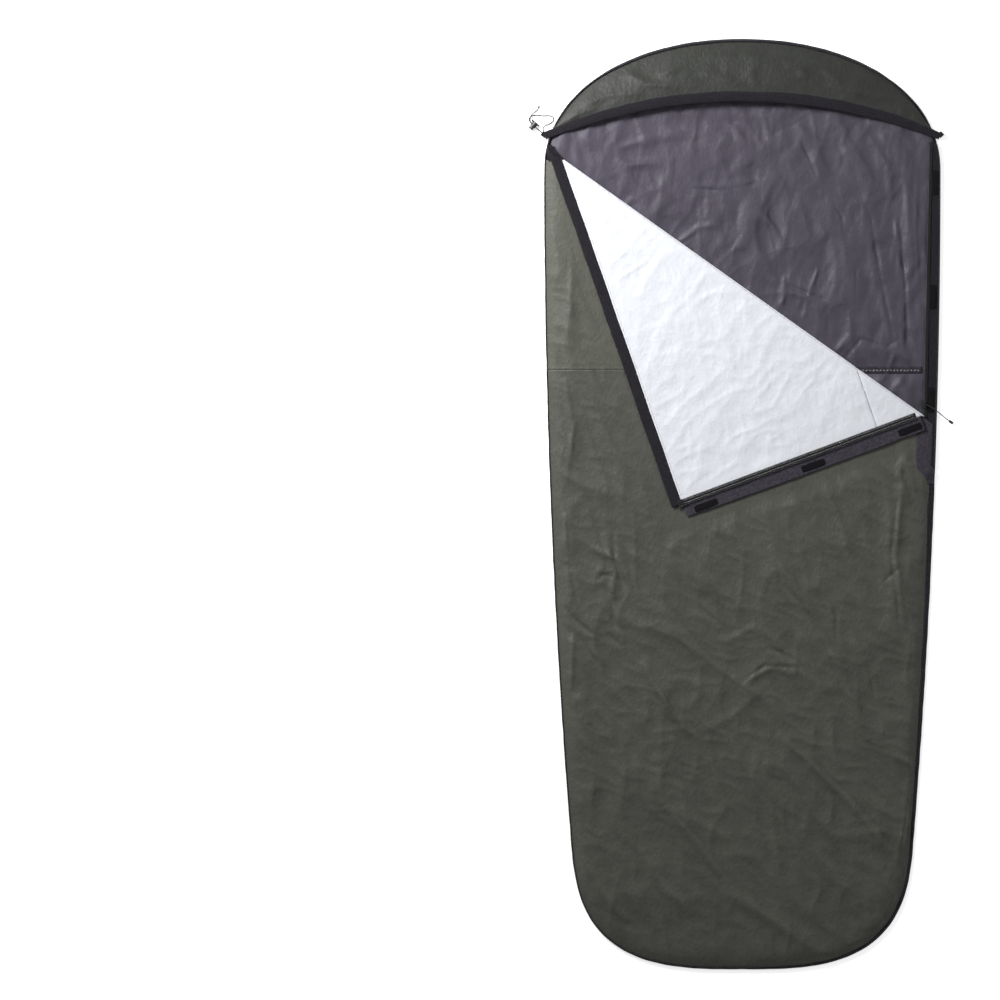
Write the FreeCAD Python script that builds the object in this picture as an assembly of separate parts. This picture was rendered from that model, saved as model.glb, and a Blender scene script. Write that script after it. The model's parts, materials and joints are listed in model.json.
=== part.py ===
import FreeCAD, Part
import math
import os
from FreeCAD import Vector

# Bivy sack lying flat on the ground, hood at +Y, its zip open and the top's corner folded back.
# Millimetres. +X is to the right seen from above, +Z up. The origin is the middle of the sack's
# length and width, on the ground. Fabric is drawn as thin solid sheets, thicker than the real cloth.

# The sack's outline
HALF_LENGTH = 1100.0
SHOULDER_HALF = 467.0         # half width where the hood begins
FOOT_HALF = 406.0             # half width where the foot begins to round off
SHOULDER_Y = 790.0
FOOT_Y = -780.0
HOOD_POWER = 2.1              # how square the hood's and the foot's rounding are
FOOT_POWER = 3.1
FOOT_NARROWING = 0.075        # how fast the sides still close in along the foot
ARC_POINTS = 9                # points along a quarter of the hood or of the foot
SIDE_POINTS = 10

# Levels above the ground
CLOTH = 1.5
TOP_LOW = 14.0
TOP_HIGH = TOP_LOW + CLOTH
HINGE_Z = 18.0                # the fold line's height when the corner is folded over
SEAM_TAPE = 0.6
BINDING_WIDTH = 9.0
HOOD_BINDING_HIGH = 6.0
FACING_LOW = 10.9
FACING_HIGH = 12.4

# Seams and hems across the sack
SEAM_Y = 317.0                # the darker lower cloth begins here, above and below
SEAM_TAPE_HALF = 11.0
MOUTH_Y = 838.0               # the top sheet's free edge
TOP_HEM_WIDTH = 26.0
TOP_HEM_THICK = 1.8
HOOD_JOIN_Y = 850.0           # the side bindings end here and the hood's begins

# Zip, straight along the right side
ZIP_FOOT = Vector(425.0, 95.0, 0)
ZIP_HEAD = Vector(441.0, 846.0, 0)
CHAIN_HALF = 3.2
CHAIN_GAP = 0.25
CHAIN_LOW = 11.9
CHAIN_HIGH = 14.1
TAPE = 0.8
TAPE_WIDTH = 10.8
BASE_TAPE_WIDTH = 5.0
TAPE_FROM_CHAIN = 0.1
CLOTH_FROM_ZIP = 3.5
FACING_FROM_ZIP = 6.2
STOP_LENGTH = 3.0

# Fold line of the top's corner, from the left edge to a point on the zip
FOLD_LEFT = Vector(-466.0, 841.0, 0)
FOLD_ALONG = 111.0            # distance up the zip
FOLD_GAP = 0.6

# Slider, on the zip just above the fold line when the corner is folded back
SLIDER_ALONG = 141.0
SLIDER_TRAVEL = 600.0
SLIDER_HALF_LENGTH = 10.0
SLIDER_HALF_WIDTH = 5.5
SLIDER_PLATE = 1.6
PLATE_GAP = 0.5
BAIL_BAR_Z = 20.4
RING_RADIUS = 2.8
RING_WIRE = 0.7
PULL_DIAMETER = 2.2

# Storm flap over the zip, with touch-and-close patches
STORM_THICK = 1.2
STORM_INNER = -16.0
STORM_OUTER = 40.0
STORM_TOP_ALONG = 716.0
STORM_FOOT_ALONG = -8.0
PATCH_ALONG = (151.0, 395.0, 665.0)
PATCH_LENGTH = 58.0
PATCH_INNER = 8.7
PATCH_OUTER = 24.7
PATCH_THICK = 0.6

# Hood and its hem, which is a flat channel for the drawcord bent to an arc
HEM_END = Vector(462.0, 872.0, 9.0)
HEM_APEX = Vector(0.0, 962.0, 38.0)
HEM_WIDTH = 26.0
HEM_THICK = 4.5
CHANNEL_RADIUS = 1.7
CHANNEL_FROM_MIDDLE = -7.0
DRAWCORD_DIAMETER = 2.5
HOOD_SIDE_X = 432.0
HOOD_COLUMNS = 13
HOOD_ROWS = 6
HOOD_EDGE_Z = 6.3
HOOD_SPLIT_X = 250.0          # the hood's cloth and hem are drawn in stretches that each stay nearly flat
HOOD_SPLIT_Y = 1003.0

# Corner tab, where the drawcord comes out, and the cord lock on it
TAB_FACE = Vector(-473.5, 877.5, 0)
TAB_LENGTH = 12.0
TAB_HALF_WIDTH = 6.0
TAB_LOW = 3.4
TAB_HIGH = 11.4
CORD_WAY = Vector(-0.754, 0.657, 0).normalize()       # the way the cord leaves the tab
BUTTON_WAY = Vector(-0.657, -0.754, 0).normalize()    # the way the lock's button points
LOCK_FROM_TAB = 27.0
LOCK_Z = 7.3
BARREL_RADIUS = 7.0
BARREL_BACK = -9.3
BARREL_MOUTH = 5.0
BARREL_WALL = 1.5
PLUNGER_RADIUS = 4.8
PLUNGER_GAP = 0.3
PLUNGER_BACK = -2.6
HEAD_RADIUS = 6.2
HEAD_LENGTH = 3.2
BUTTON_TRAVEL = 3.0
CORD_SLOT_HALF = 1.6
CORD_SLOT_HALF_HEIGHT = 3.3
WING_HALF_SPAN = 11.0
WING_LENGTH = 3.8
WING_HALF_HEIGHT = 4.0
SPRING_WIRE = 0.42
SPRING_RADIUS = 3.1

UP = Vector(0, 0, 1)
FAR = 3000.0


def right_half_outline():
    """Points of the sack's right half, from the hood's top down to the foot's end."""
    points = []
    for i in range(ARC_POINTS):
        turn = math.radians(90.0 * (ARC_POINTS - i) / ARC_POINTS)
        x = SHOULDER_HALF * math.cos(turn) ** (2 / HOOD_POWER) if i else 0.0
        y = SHOULDER_Y + (HALF_LENGTH - SHOULDER_Y) * math.sin(turn) ** (2 / HOOD_POWER)
        points.append((x, y))
    for i in range(SIDE_POINTS + 1):
        way = i / SIDE_POINTS
        x = FOOT_HALF + (SHOULDER_HALF - FOOT_HALF) * (1 - way ** 2)
        points.append((x, SHOULDER_Y + (FOOT_Y - SHOULDER_Y) * way))
    for i in range(1, ARC_POINTS + 1):
        turn = math.radians(90.0 * i / ARC_POINTS)
        depth = (HALF_LENGTH + FOOT_Y) * math.sin(turn) ** (2 / FOOT_POWER)
        cosine = math.cos(turn) if i < ARC_POINTS else 0.0
        x = (FOOT_HALF - FOOT_NARROWING * depth) * cosine ** (2 / FOOT_POWER)
        points.append((x, FOOT_Y - depth))
    return points


def outline(inset):
    """Closed round of points along the sack's edge, clockwise from above, moved in by inset."""
    right = right_half_outline()
    left = [(-x, y) for x, y in reversed(right[1:-1])]
    points = right + left
    moved = []
    for i, (x, y) in enumerate(points):
        before = points[i - 1]
        after = points[(i + 1) % len(points)]
        along = Vector(after[0] - before[0], after[1] - before[1], 0).normalize()
        moved.append((x + inset * along.y, y - inset * along.x))
    return moved


def slab(inset, low, high):
    """Solid with the sack's outline, moved in by inset."""
    curve = Part.BSplineCurve()
    curve.interpolate([Vector(x, y, low) for x, y in outline(inset)], PeriodicFlag=True)
    face = Part.Face(Part.Wire([curve.toShape()]))
    return face.extrude(UP * (high - low))


def prism(corners, low, high):
    """Straight-sided solid over a polygon."""
    points = [Vector(corner.x, corner.y, low) for corner in corners]
    return Part.Face(Part.makePolygon(points + points[:1])).extrude(UP * (high - low))


def between(low_y, high_y, low_x=-FAR, high_x=FAR):
    """Tall block used to keep one stretch of a sheet."""
    return Part.makeBox(high_x - low_x, high_y - low_y, FAR, Vector(low_x, low_y, -FAR / 2))


ZIP_WAY = (ZIP_HEAD - ZIP_FOOT).normalize()
ZIP_RIGHT = Vector(ZIP_WAY.y, -ZIP_WAY.x, 0)
ZIP_LENGTH = (ZIP_HEAD - ZIP_FOOT).Length
FOLD_RIGHT = ZIP_FOOT + ZIP_WAY * FOLD_ALONG
FOLD_WAY = (FOLD_RIGHT - FOLD_LEFT).normalize()
MOUTH_WAY = Vector(-FOLD_WAY.y, FOLD_WAY.x, 0)        # square to the fold line, towards the mouth


def zip_point(along, across, z=0.0):
    """Point at a distance along the zip from its foot end, and across it to the right."""
    return ZIP_FOOT + ZIP_WAY * along + ZIP_RIGHT * across + UP * z


def zip_strip(along, across, levels):
    """Flat strip lying along the zip, from pairs of limits."""
    corners = [zip_point(along[0], across[0]), zip_point(along[1], across[0]),
               zip_point(along[1], across[1]), zip_point(along[0], across[1])]
    return prism(corners, *levels)


def mouth_side(shape):
    """The part of a shape on the mouth's side of the fold line, a little clear of it."""
    start = FOLD_LEFT - FOLD_WAY * FAR + MOUTH_WAY * FOLD_GAP
    end = FOLD_RIGHT + FOLD_WAY * FAR + MOUTH_WAY * FOLD_GAP
    return shape.common(prism([start, end, end + MOUTH_WAY * FAR, start + MOUTH_WAY * FAR], -FAR, FAR))


def foot_side(shape):
    """The part of a shape on the foot's side of the fold line, a little clear of it."""
    start = FOLD_LEFT - FOLD_WAY * FAR - MOUTH_WAY * FOLD_GAP
    end = FOLD_RIGHT + FOLD_WAY * FAR - MOUTH_WAY * FOLD_GAP
    return shape.common(prism([end, start, start - MOUTH_WAY * FAR, end - MOUTH_WAY * FAR], -FAR, FAR))


def folded_back(shape):
    """Turn a piece of the top's corner half a turn about the fold line, from closed to open."""
    turned = shape.copy()
    turned.rotate(FOLD_LEFT + UP * HINGE_Z, FOLD_WAY, 180)
    return turned


def left_of_zip(shape, clear=CLOTH_FROM_ZIP):
    """The part of a shape on the sleeper's side of the zip."""
    right_side = zip_strip((-STOP_LENGTH - 0.5, FAR), (-clear, FAR), (-FAR, FAR))
    return shape.cut(right_side)


def base_pieces():
    """Two ground sheets, the tape on the seam between them, and the edge bindings."""
    sheet = slab(BINDING_WIDTH, 0, CLOTH)
    tape = slab(BINDING_WIDTH + 3, CLOTH, CLOTH + SEAM_TAPE)
    return {
        "base_upper_panel": sheet.common(between(SEAM_Y, FAR)),
        "base_lower_panel": sheet.common(between(-FAR, SEAM_Y)),
        "base_seam_tape": tape.common(between(SEAM_Y - SEAM_TAPE_HALF, SEAM_Y + SEAM_TAPE_HALF)),
    }


def edge_ring(high):
    """Binding all round the sack's edge."""
    return slab(0, 0, high).cut(slab(BINDING_WIDTH, -1, high + 1))


def binding_pieces():
    """The edge binding in five runs, lower beside the zip and round the hood."""
    tall = edge_ring(TOP_LOW)
    zip_foot_y = ZIP_FOOT.y - 2
    return {
        "left_binding": tall.common(between(FOOT_Y, HOOD_JOIN_Y, high_x=0)),
        "right_binding": tall.common(between(FOOT_Y, zip_foot_y, low_x=0)),
        "foot_binding": tall.common(between(-FAR, FOOT_Y)),
        "zip_side_binding": edge_ring(FACING_LOW).common(between(zip_foot_y, HOOD_JOIN_Y, low_x=0)),
        "hood_binding": edge_ring(HOOD_BINDING_HIGH).common(between(HOOD_JOIN_Y, FAR)),
    }


def top_pieces():
    """The top sheet's two cloths and its mouth hem, each split at the fold line."""
    sheet = slab(1.5, TOP_LOW, TOP_HIGH)
    hem_sheet = slab(1.5, TOP_LOW, TOP_LOW + TOP_HEM_THICK)
    hem_low_y = MOUTH_Y - TOP_HEM_WIDTH
    upper = sheet.common(between(SEAM_Y, hem_low_y))
    lower = left_of_zip(sheet.common(between(-FAR, SEAM_Y)))
    hem = hem_sheet.common(between(hem_low_y, MOUTH_Y))
    tape = slab(BINDING_WIDTH + 0.5, TOP_LOW - SEAM_TAPE, TOP_LOW)
    tape = tape.common(between(SEAM_Y - SEAM_TAPE_HALF, SEAM_Y + SEAM_TAPE_HALF))
    tape_end = CHAIN_HALF + TAPE_WIDTH + 0.3
    return {
        "top_upper_panel": foot_side(upper),
        "top_lower_panel": foot_side(lower),
        "top_hem_end": foot_side(hem),
        "top_seam_tape": foot_side(tape),
        "flap_panel": folded_back(mouth_side(left_of_zip(upper))),
        "flap_lower_panel": folded_back(mouth_side(lower)),
        "flap_mouth_hem": folded_back(mouth_side(left_of_zip(hem, FACING_FROM_ZIP))),
        "flap_seam_tape": folded_back(mouth_side(left_of_zip(tape, tape_end))),
    }


def zip_pieces():
    """Tapes, half chains and end stops, on the ground sheet's side, on the flap and below the fold."""
    right_chain = (CHAIN_GAP, CHAIN_HALF)
    left_chain = (-CHAIN_HALF, -CHAIN_GAP)
    chain_levels = (CHAIN_LOW, CHAIN_HIGH)
    left_tape = (-CHAIN_HALF - TAPE_WIDTH, -CHAIN_HALF - TAPE_FROM_CHAIN)
    left_tape_levels = (TOP_LOW - TAPE, TOP_LOW)
    right_tape = (CHAIN_HALF, CHAIN_HALF + BASE_TAPE_WIDTH)
    right_tape_levels = (FACING_HIGH, FACING_HIGH + TAPE)
    base_end = ZIP_LENGTH + 2
    lower_end = SLIDER_ALONG - SLIDER_HALF_LENGTH - 4
    flap_start = lower_end + 0.5
    flap_end = SLIDER_ALONG + SLIDER_TRAVEL - SLIDER_HALF_LENGTH - 4
    facing = slab(0.5, FACING_LOW, FACING_HIGH)
    facing = facing.common(zip_strip((-1, base_end + 2), (FACING_FROM_ZIP, FAR), (-FAR, FAR)))
    flap_tape = zip_strip((flap_start, flap_end), left_tape, left_tape_levels)
    bottom_stop = zip_strip((-STOP_LENGTH, 0), (-CHAIN_HALF, CHAIN_HALF), chain_levels)
    return {
        "zip_facing": facing,
        "zip_tape_base": zip_strip((0, base_end), right_tape, right_tape_levels),
        "zip_teeth_base": zip_strip((0, base_end), right_chain, chain_levels),
        "zip_tape_lower": foot_side(zip_strip((0, lower_end), left_tape, left_tape_levels)),
        "zip_teeth_lower": zip_strip((0, lower_end), left_chain, chain_levels),
        "zip_bottom_stop": bottom_stop,
        "zip_top_stop_base": zip_strip((base_end, base_end + STOP_LENGTH), right_chain, chain_levels),
        "zip_tape_flap": folded_back(flap_tape),
        "zip_teeth_flap": folded_back(zip_strip((flap_start, flap_end), left_chain, chain_levels)),
        "zip_top_stop_flap": folded_back(
            zip_strip((flap_end, flap_end + STOP_LENGTH), left_chain, chain_levels)),
    }


def patches(levels):
    """Three touch-and-close patches beside the zip."""
    half = PATCH_LENGTH / 2
    across = (PATCH_INNER, PATCH_OUTER)
    return Part.makeCompound([zip_strip((at - half, at + half), across, levels) for at in PATCH_ALONG])


def storm_flap_pieces():
    """The strip over the zip, split at the fold line, and the patches that hold it down."""
    sheet = slab(1.0, TOP_HIGH, TOP_HIGH + STORM_THICK)
    everywhere = (-FAR, FAR)
    flap = sheet.common(zip_strip((0, STORM_TOP_ALONG), (STORM_INNER, STORM_OUTER), everywhere))
    lower_along = (STORM_FOOT_ALONG, FOLD_ALONG + 15)
    lower = sheet.common(zip_strip(lower_along, (STORM_INNER, STORM_OUTER), everywhere))
    return {
        "storm_flap": folded_back(mouth_side(flap)),
        "storm_flap_lower": foot_side(lower),
        "hook_patches": folded_back(patches((TOP_HIGH - PATCH_THICK, TOP_HIGH))),
        "loop_patches": patches((FACING_HIGH, FACING_HIGH + PATCH_THICK)),
    }


def hem_frame():
    """Radius, centre and half angle of the hood hem's arc, and its in-plane and square directions."""
    rise = HEM_APEX - Vector(0, HEM_END.y, HEM_END.z)
    sagitta = rise.Length
    radius = (HEM_END.x ** 2 + sagitta ** 2) / (2 * sagitta)
    outwards = rise.normalize()
    square = Vector(0, -outwards.z, outwards.y)
    centre = HEM_APEX - outwards * radius
    return radius, centre, math.asin(HEM_END.x / radius), outwards, square


def hem_point(turn, offset):
    """Point on the hood hem, at an angle from its middle and a level distance out from its line."""
    radius, centre, _, outwards, square = hem_frame()
    across = outwards * math.cos(turn) + Vector(1, 0, 0) * math.sin(turn)
    level = across * outwards.y + square * square.y
    return centre + across * radius + level * offset


def hem_sweep(profile):
    """Turn a flat profile, drawn at the hem's left end, along the hem's arc."""
    _, centre, half_angle, _, square = hem_frame()
    return profile.revolve(centre, square * -1, math.degrees(2 * half_angle))


def hem_profile_point(offset, rise):
    """Point of the hem's cross-section at its left end."""
    _, _, half_angle, outwards, square = hem_frame()
    across = outwards * math.cos(half_angle) - Vector(1, 0, 0) * math.sin(half_angle)
    upright = square * outwards.y + across * outwards.z
    return hem_point(-half_angle, offset) + upright * rise


def hem_circle(radius):
    """Disc at the hem's left end, where the drawcord's channel runs."""
    _, _, half_angle, outwards, _ = hem_frame()
    way = outwards * math.sin(half_angle) + Vector(1, 0, 0) * math.cos(half_angle)
    circle = Part.makeCircle(radius, hem_profile_point(CHANNEL_FROM_MIDDLE, 0), way)
    return Part.Face(Part.Wire([circle]))


def hood_panel():
    """Domed cloth from the hood's hem to the edge seam."""
    radius = hem_frame()[0]
    inset = 3.0
    rows = []
    for j in range(HOOD_ROWS):
        out = j / (HOOD_ROWS - 1)
        row = []
        for i in range(HOOD_COLUMNS):
            x = HOOD_SIDE_X * math.sin(math.radians(90.0 * (2 * i / (HOOD_COLUMNS - 1) - 1)))
            hem = hem_point(math.asin(x / (radius + HEM_WIDTH / 2)), HEM_WIDTH / 2 + 0.5)
            part = (abs(x) / (SHOULDER_HALF - inset)) ** HOOD_POWER
            depth = HALF_LENGTH - SHOULDER_Y - inset
            edge_y = SHOULDER_Y + depth * (1 - part) ** (1 / HOOD_POWER)
            y = hem.y + (edge_y - hem.y) * out
            z = HOOD_EDGE_Z + (hem.z - HOOD_EDGE_Z) * math.cos(math.radians(90.0 * out))
            row.append(Vector(x, y, z))
        rows.append(row)
    surface = Part.BSplineSurface()
    surface.interpolate(rows)
    return surface.toShape().extrude(UP * CLOTH)


def corner_tab(mirrored):
    """Folded end of the hood's hem at a corner, which the drawcord comes out of."""
    side = BUTTON_WAY * TAB_HALF_WIDTH
    back = TAB_FACE - CORD_WAY * TAB_LENGTH
    tab = prism([TAB_FACE + side, TAB_FACE - side, back - side, back + side], TAB_LOW, TAB_HIGH)
    return tab.mirror(Vector(0, 0, 0), Vector(1, 0, 0)) if mirrored else tab


def hood_pieces():
    """Hood cloth, its hem with the drawcord inside, and the two corner tabs."""
    half_thick = HEM_THICK / 2
    half_width = HEM_WIDTH / 2
    corners = [hem_profile_point(offset, rise) for offset, rise in
               ((-half_width, -half_thick), (half_width, -half_thick),
                (half_width, half_thick), (-half_width, half_thick))]
    band = hem_sweep(Part.Face(Part.makePolygon(corners + corners[:1])))
    hem = band.cut(hem_sweep(hem_circle(CHANNEL_RADIUS)))
    cloth = hood_panel()
    edges = edge_ring(TOP_LOW)
    left = between(-FAR, FAR, high_x=-HOOD_SPLIT_X)
    middle = between(-FAR, FAR, -HOOD_SPLIT_X, HOOD_SPLIT_X)
    right = between(-FAR, FAR, low_x=HOOD_SPLIT_X)
    return {
        "hood_panel_front": cloth.common(middle).common(between(-FAR, HOOD_SPLIT_Y)),
        "hood_panel_back": cloth.common(middle).common(between(HOOD_SPLIT_Y, FAR)),
        "hood_panel_left": cloth.common(left),
        "hood_panel_right": cloth.common(right),
        "hood_hem_left": hem.common(left),
        "hood_hem_middle": hem.common(middle),
        "hood_hem_right": hem.common(right),
        "hood_drawcord": hem_sweep(hem_circle(DRAWCORD_DIAMETER / 2)),
        "corner_tab_left": corner_tab(False).cut(band).cut(edges),
        "corner_tab_right": corner_tab(True).cut(band).cut(edges),
    }


def tube(points, diameter, name):
    """Cord along straight runs joined by tangent arcs, each as large as its two runs allow."""
    edges = []
    start = points[0]
    for before, corner, after in zip(points, points[1:], points[2:]):
        run_in = corner - before
        run_out = after - corner
        shorter = min(run_in.Length, run_out.Length)
        turn = run_in.getAngle(run_out)
        cut = 0.45 * shorter
        way_in = run_in.normalize()
        way_out = run_out.normalize()
        arc_start = corner - way_in * cut
        arc_end = corner + way_out * cut
        radius = cut / math.tan(turn / 2)
        inward = (way_out - way_in).normalize()
        arc_middle = corner + inward * (radius / math.cos(turn / 2) - radius)
        edges.append(Part.LineSegment(start, arc_start).toShape())
        edges.append(Part.Arc(arc_start, arc_middle, arc_end).toShape())
        start = arc_end
        print(f"{name}: arc of {radius:.1f} mm, turn {math.degrees(turn):.0f} degrees")
    edges.append(Part.LineSegment(start, points[-1]).toShape())
    path = Part.Wire(edges)
    circle = Part.makeCircle(diameter / 2, points[0], points[1] - points[0])
    solid = path.makePipeShell([Part.Wire([circle])], True, False)
    expected = math.pi * diameter ** 2 / 4 * path.Length
    print(f"{name}: length {path.Length:.1f} mm, volume {solid.Volume:.1f} of {expected:.1f} mm3")
    return solid


def lock_point(along, across, z):
    """Point near the cord lock: along the cord's way from the lock, and across towards its button."""
    lock = TAB_FACE + CORD_WAY * LOCK_FROM_TAB
    return lock + CORD_WAY * along + BUTTON_WAY * across + UP * z


# Drawcord's free end, out of the corner tab, through the lock and onto the ground
TAIL_ROUTE = [lock_point(*place) for place in (
    (-27.0, 0.4, 9.4), (-14.5, 0.0, 9.05), (11.0, 0.0, 9.05), (18.5, -7.5, 6.6),
    (20.5, -19.0, 3.2), (17.0, -31.0, 1.6), (19.5, -42.0, 1.5))]

# Drawcord's anchor loop, through the lock, round on the ground and back to the tab
LOOP_ROUTE = [lock_point(*place) for place in (
    (-27.0, -0.4, 5.4), (-14.5, 0.0, 5.55), (11.0, 0.0, 5.55), (19.5, -5.0, 3.0),
    (18.5, -16.0, 1.5), (9.0, -25.0, 1.5), (-3.0, -33.0, 1.5), (-13.0, -43.0, 1.5),
    (-21.5, -46.5, 1.5), (-28.5, -40.0, 1.5), (-27.0, -30.0, 1.5), (-21.0, -20.0, 1.6),
    (-20.5, -10.5, 4.6), (-27.0, -4.2, 7.4))]

# Slider's pull cord: (along the zip, across it, height), over the edge strip and down to the ground
PULL_ROUTE = [zip_point(SLIDER_ALONG + along, across, z) for along, across, z in (
    (0.0, 2.8, 20.4), (-3.0, 10.5, 19.6), (-8.0, 20.0, 17.2), (-13.5, 29.5, 15.4),
    (-21.0, 39.0, 14.4), (-28.0, 48.0, 11.5), (-34.0, 56.0, 7.0), (-38.5, 63.0, 3.6))]


def rounded_rod(start, way, length, radius):
    """Short rod with rounded ends."""
    rod = Part.makeCylinder(radius, length, start, way)
    rounding = 0.45 * min(radius, length / 2)
    return rod.makeFillet(rounding, [edge for edge in rod.Edges if edge.Closed])


def slider_pieces():
    """Two-plate slider with its bail, and the ring, cord and bead that pull it."""
    ends = (SLIDER_ALONG - SLIDER_HALF_LENGTH, SLIDER_ALONG + SLIDER_HALF_LENGTH)
    sides = (-SLIDER_HALF_WIDTH, SLIDER_HALF_WIDTH)
    low_top = CHAIN_LOW - PLATE_GAP
    high_foot = CHAIN_HIGH + PLATE_GAP
    high_top = high_foot + SLIDER_PLATE
    lower_plate = zip_strip(ends, sides, (low_top - SLIDER_PLATE, low_top))
    upper_plate = zip_strip(ends, sides, (high_foot, high_top))
    wedge = zip_strip((SLIDER_ALONG + 5, ends[1]), (-2.0, -0.35), (low_top, high_foot))
    bail_top = BAIL_BAR_Z + 0.6
    bail = zip_strip((SLIDER_ALONG - 7, SLIDER_ALONG + 7), (-1.2, 1.2), (high_top, bail_top))
    bail_hole = zip_strip((SLIDER_ALONG - 5, SLIDER_ALONG + 5), (-2, 2), (high_top, bail_top - 1.2))
    slider = lower_plate.fuse([upper_plate, wedge, bail.cut(bail_hole)]).removeSplitter()
    ring_centre = zip_point(SLIDER_ALONG, 0, BAIL_BAR_Z)
    bead_way = (PULL_ROUTE[-1] - PULL_ROUTE[-2]).normalize()
    bead_way.z = 0
    bead_start = PULL_ROUTE[-1] - bead_way * 1.0
    return {
        "zip_slider": slider,
        "pull_ring": Part.makeTorus(RING_RADIUS, RING_WIRE, ring_centre, ZIP_WAY),
        "pull_cord": tube(PULL_ROUTE, PULL_DIAMETER, "pull_cord"),
        "pull_bead": rounded_rod(bead_start, bead_way, 11.0, 3.2),
    }


def lock_rod(radius, start, end):
    """Round bar along the lock's button axis."""
    return Part.makeCylinder(radius, end - start, lock_point(0, start, LOCK_Z), BUTTON_WAY)


def lock_block(along, across, half_height):
    """Block square to the lock, from limits along the cord and along the button."""
    corners = [lock_point(along[0], across[0], 0), lock_point(along[1], across[0], 0),
               lock_point(along[1], across[1], 0), lock_point(along[0], across[1], 0)]
    return prism(corners, LOCK_Z - half_height, LOCK_Z + half_height)


def lock_pieces():
    """Spring cord lock: winged barrel, spring and button, with the cord's slot through both."""
    slot_half = CORD_SLOT_HALF
    cavity_back = BARREL_BACK + BARREL_WALL
    barrel = lock_rod(BARREL_RADIUS, BARREL_BACK, BARREL_MOUTH)
    wings = lock_block((-WING_HALF_SPAN, WING_HALF_SPAN), (BARREL_BACK, BARREL_BACK + WING_LENGTH),
                       WING_HALF_HEIGHT)
    cavity = lock_rod(PLUNGER_RADIUS + PLUNGER_GAP, cavity_back, BARREL_MOUTH + 1)
    slot = lock_block((-20, 20), (-slot_half, slot_half), CORD_SLOT_HALF_HEIGHT)
    head_start = BARREL_MOUTH + BUTTON_TRAVEL + 0.3
    plunger = lock_rod(PLUNGER_RADIUS, PLUNGER_BACK, head_start)
    head = rounded_rod(lock_point(0, head_start, LOCK_Z), BUTTON_WAY, HEAD_LENGTH, HEAD_RADIUS)
    plunger_slot = lock_block((-20, 20), (-slot_half, slot_half + BUTTON_TRAVEL), CORD_SLOT_HALF_HEIGHT)
    coils = [Part.makeTorus(SPRING_RADIUS, SPRING_WIRE,
                            lock_point(0, cavity_back + SPRING_WIRE * (2 * i + 1), LOCK_Z), BUTTON_WAY)
             for i in range(2)]
    return {
        "cord_lock_barrel": barrel.fuse(wings).cut(cavity).cut(slot).removeSplitter(),
        "cord_lock_button": plunger.fuse(head).cut(plunger_slot).removeSplitter(),
        "cord_lock_spring": Part.makeCompound(coils),
    }


def drawcord_pieces():
    """The drawcord outside the hem: its free end with a knot, and its anchor loop."""
    knot = Part.makeSphere(DRAWCORD_DIAMETER * 0.95, TAIL_ROUTE[-1] + Vector(0, 0, 1.0))
    tab = corner_tab(False)
    tail = tube(TAIL_ROUTE, DRAWCORD_DIAMETER, "drawcord_tail")
    loop = tube(LOOP_ROUTE, DRAWCORD_DIAMETER, "drawcord_loop")
    return {
        "drawcord_tail": tail.cut(tab).cut(knot),
        "drawcord_knot": knot,
        "drawcord_loop": loop.cut(tab),
    }


def main():
    os.makedirs("parts", exist_ok=True)
    pieces = {}
    for group in (base_pieces, binding_pieces, top_pieces, zip_pieces, storm_flap_pieces, hood_pieces,
                  slider_pieces, lock_pieces, drawcord_pieces):
        pieces.update(group())
    for name, shape in pieces.items():
        if not shape.isValid() or shape.Volume <= 0:
            raise ValueError(f"{name} is not a valid solid")
        shape.exportStep(f"parts/{name}.step")
        box = shape.BoundBox
        print(f"{name}: {len(shape.Solids)} solid(s), {shape.Volume / 1000:.2f} cm3, "
              f"z {box.ZMin:.2f} to {box.ZMax:.2f}")
    axis = FOLD_WAY * -1
    rest = zip_point(SLIDER_ALONG, 0, BAIL_BAR_Z)
    print("fold hinge at", tuple(FOLD_RIGHT + UP * HINGE_Z), "axis", tuple(axis))
    print("slider way", tuple(ZIP_WAY), "ring at", tuple(rest))
    print("cord lock at", tuple(lock_point(0, 0, LOCK_Z)), "cord way", tuple(CORD_WAY),
          "button way", tuple(BUTTON_WAY))


main()
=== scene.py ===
import json
import math

import bmesh
import bpy
import numpy as np
from mathutils import Matrix, Vector


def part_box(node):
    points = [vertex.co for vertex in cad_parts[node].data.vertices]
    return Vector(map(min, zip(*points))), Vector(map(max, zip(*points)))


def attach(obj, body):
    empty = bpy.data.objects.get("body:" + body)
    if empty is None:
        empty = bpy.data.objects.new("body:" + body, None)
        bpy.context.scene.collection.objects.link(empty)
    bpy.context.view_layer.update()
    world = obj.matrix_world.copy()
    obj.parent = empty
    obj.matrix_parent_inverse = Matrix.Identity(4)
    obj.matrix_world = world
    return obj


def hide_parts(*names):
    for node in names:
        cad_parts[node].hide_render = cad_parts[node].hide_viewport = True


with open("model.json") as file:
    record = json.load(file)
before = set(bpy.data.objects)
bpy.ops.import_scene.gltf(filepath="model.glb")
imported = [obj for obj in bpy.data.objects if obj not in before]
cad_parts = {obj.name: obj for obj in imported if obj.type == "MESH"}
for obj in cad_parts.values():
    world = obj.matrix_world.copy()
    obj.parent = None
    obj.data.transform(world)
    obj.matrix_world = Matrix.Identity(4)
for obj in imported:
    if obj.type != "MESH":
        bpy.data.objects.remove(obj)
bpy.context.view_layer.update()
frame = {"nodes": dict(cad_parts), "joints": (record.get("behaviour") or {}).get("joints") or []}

# Metres throughout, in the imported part's frame: +X right, +Y to the hood, +Z up.

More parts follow.
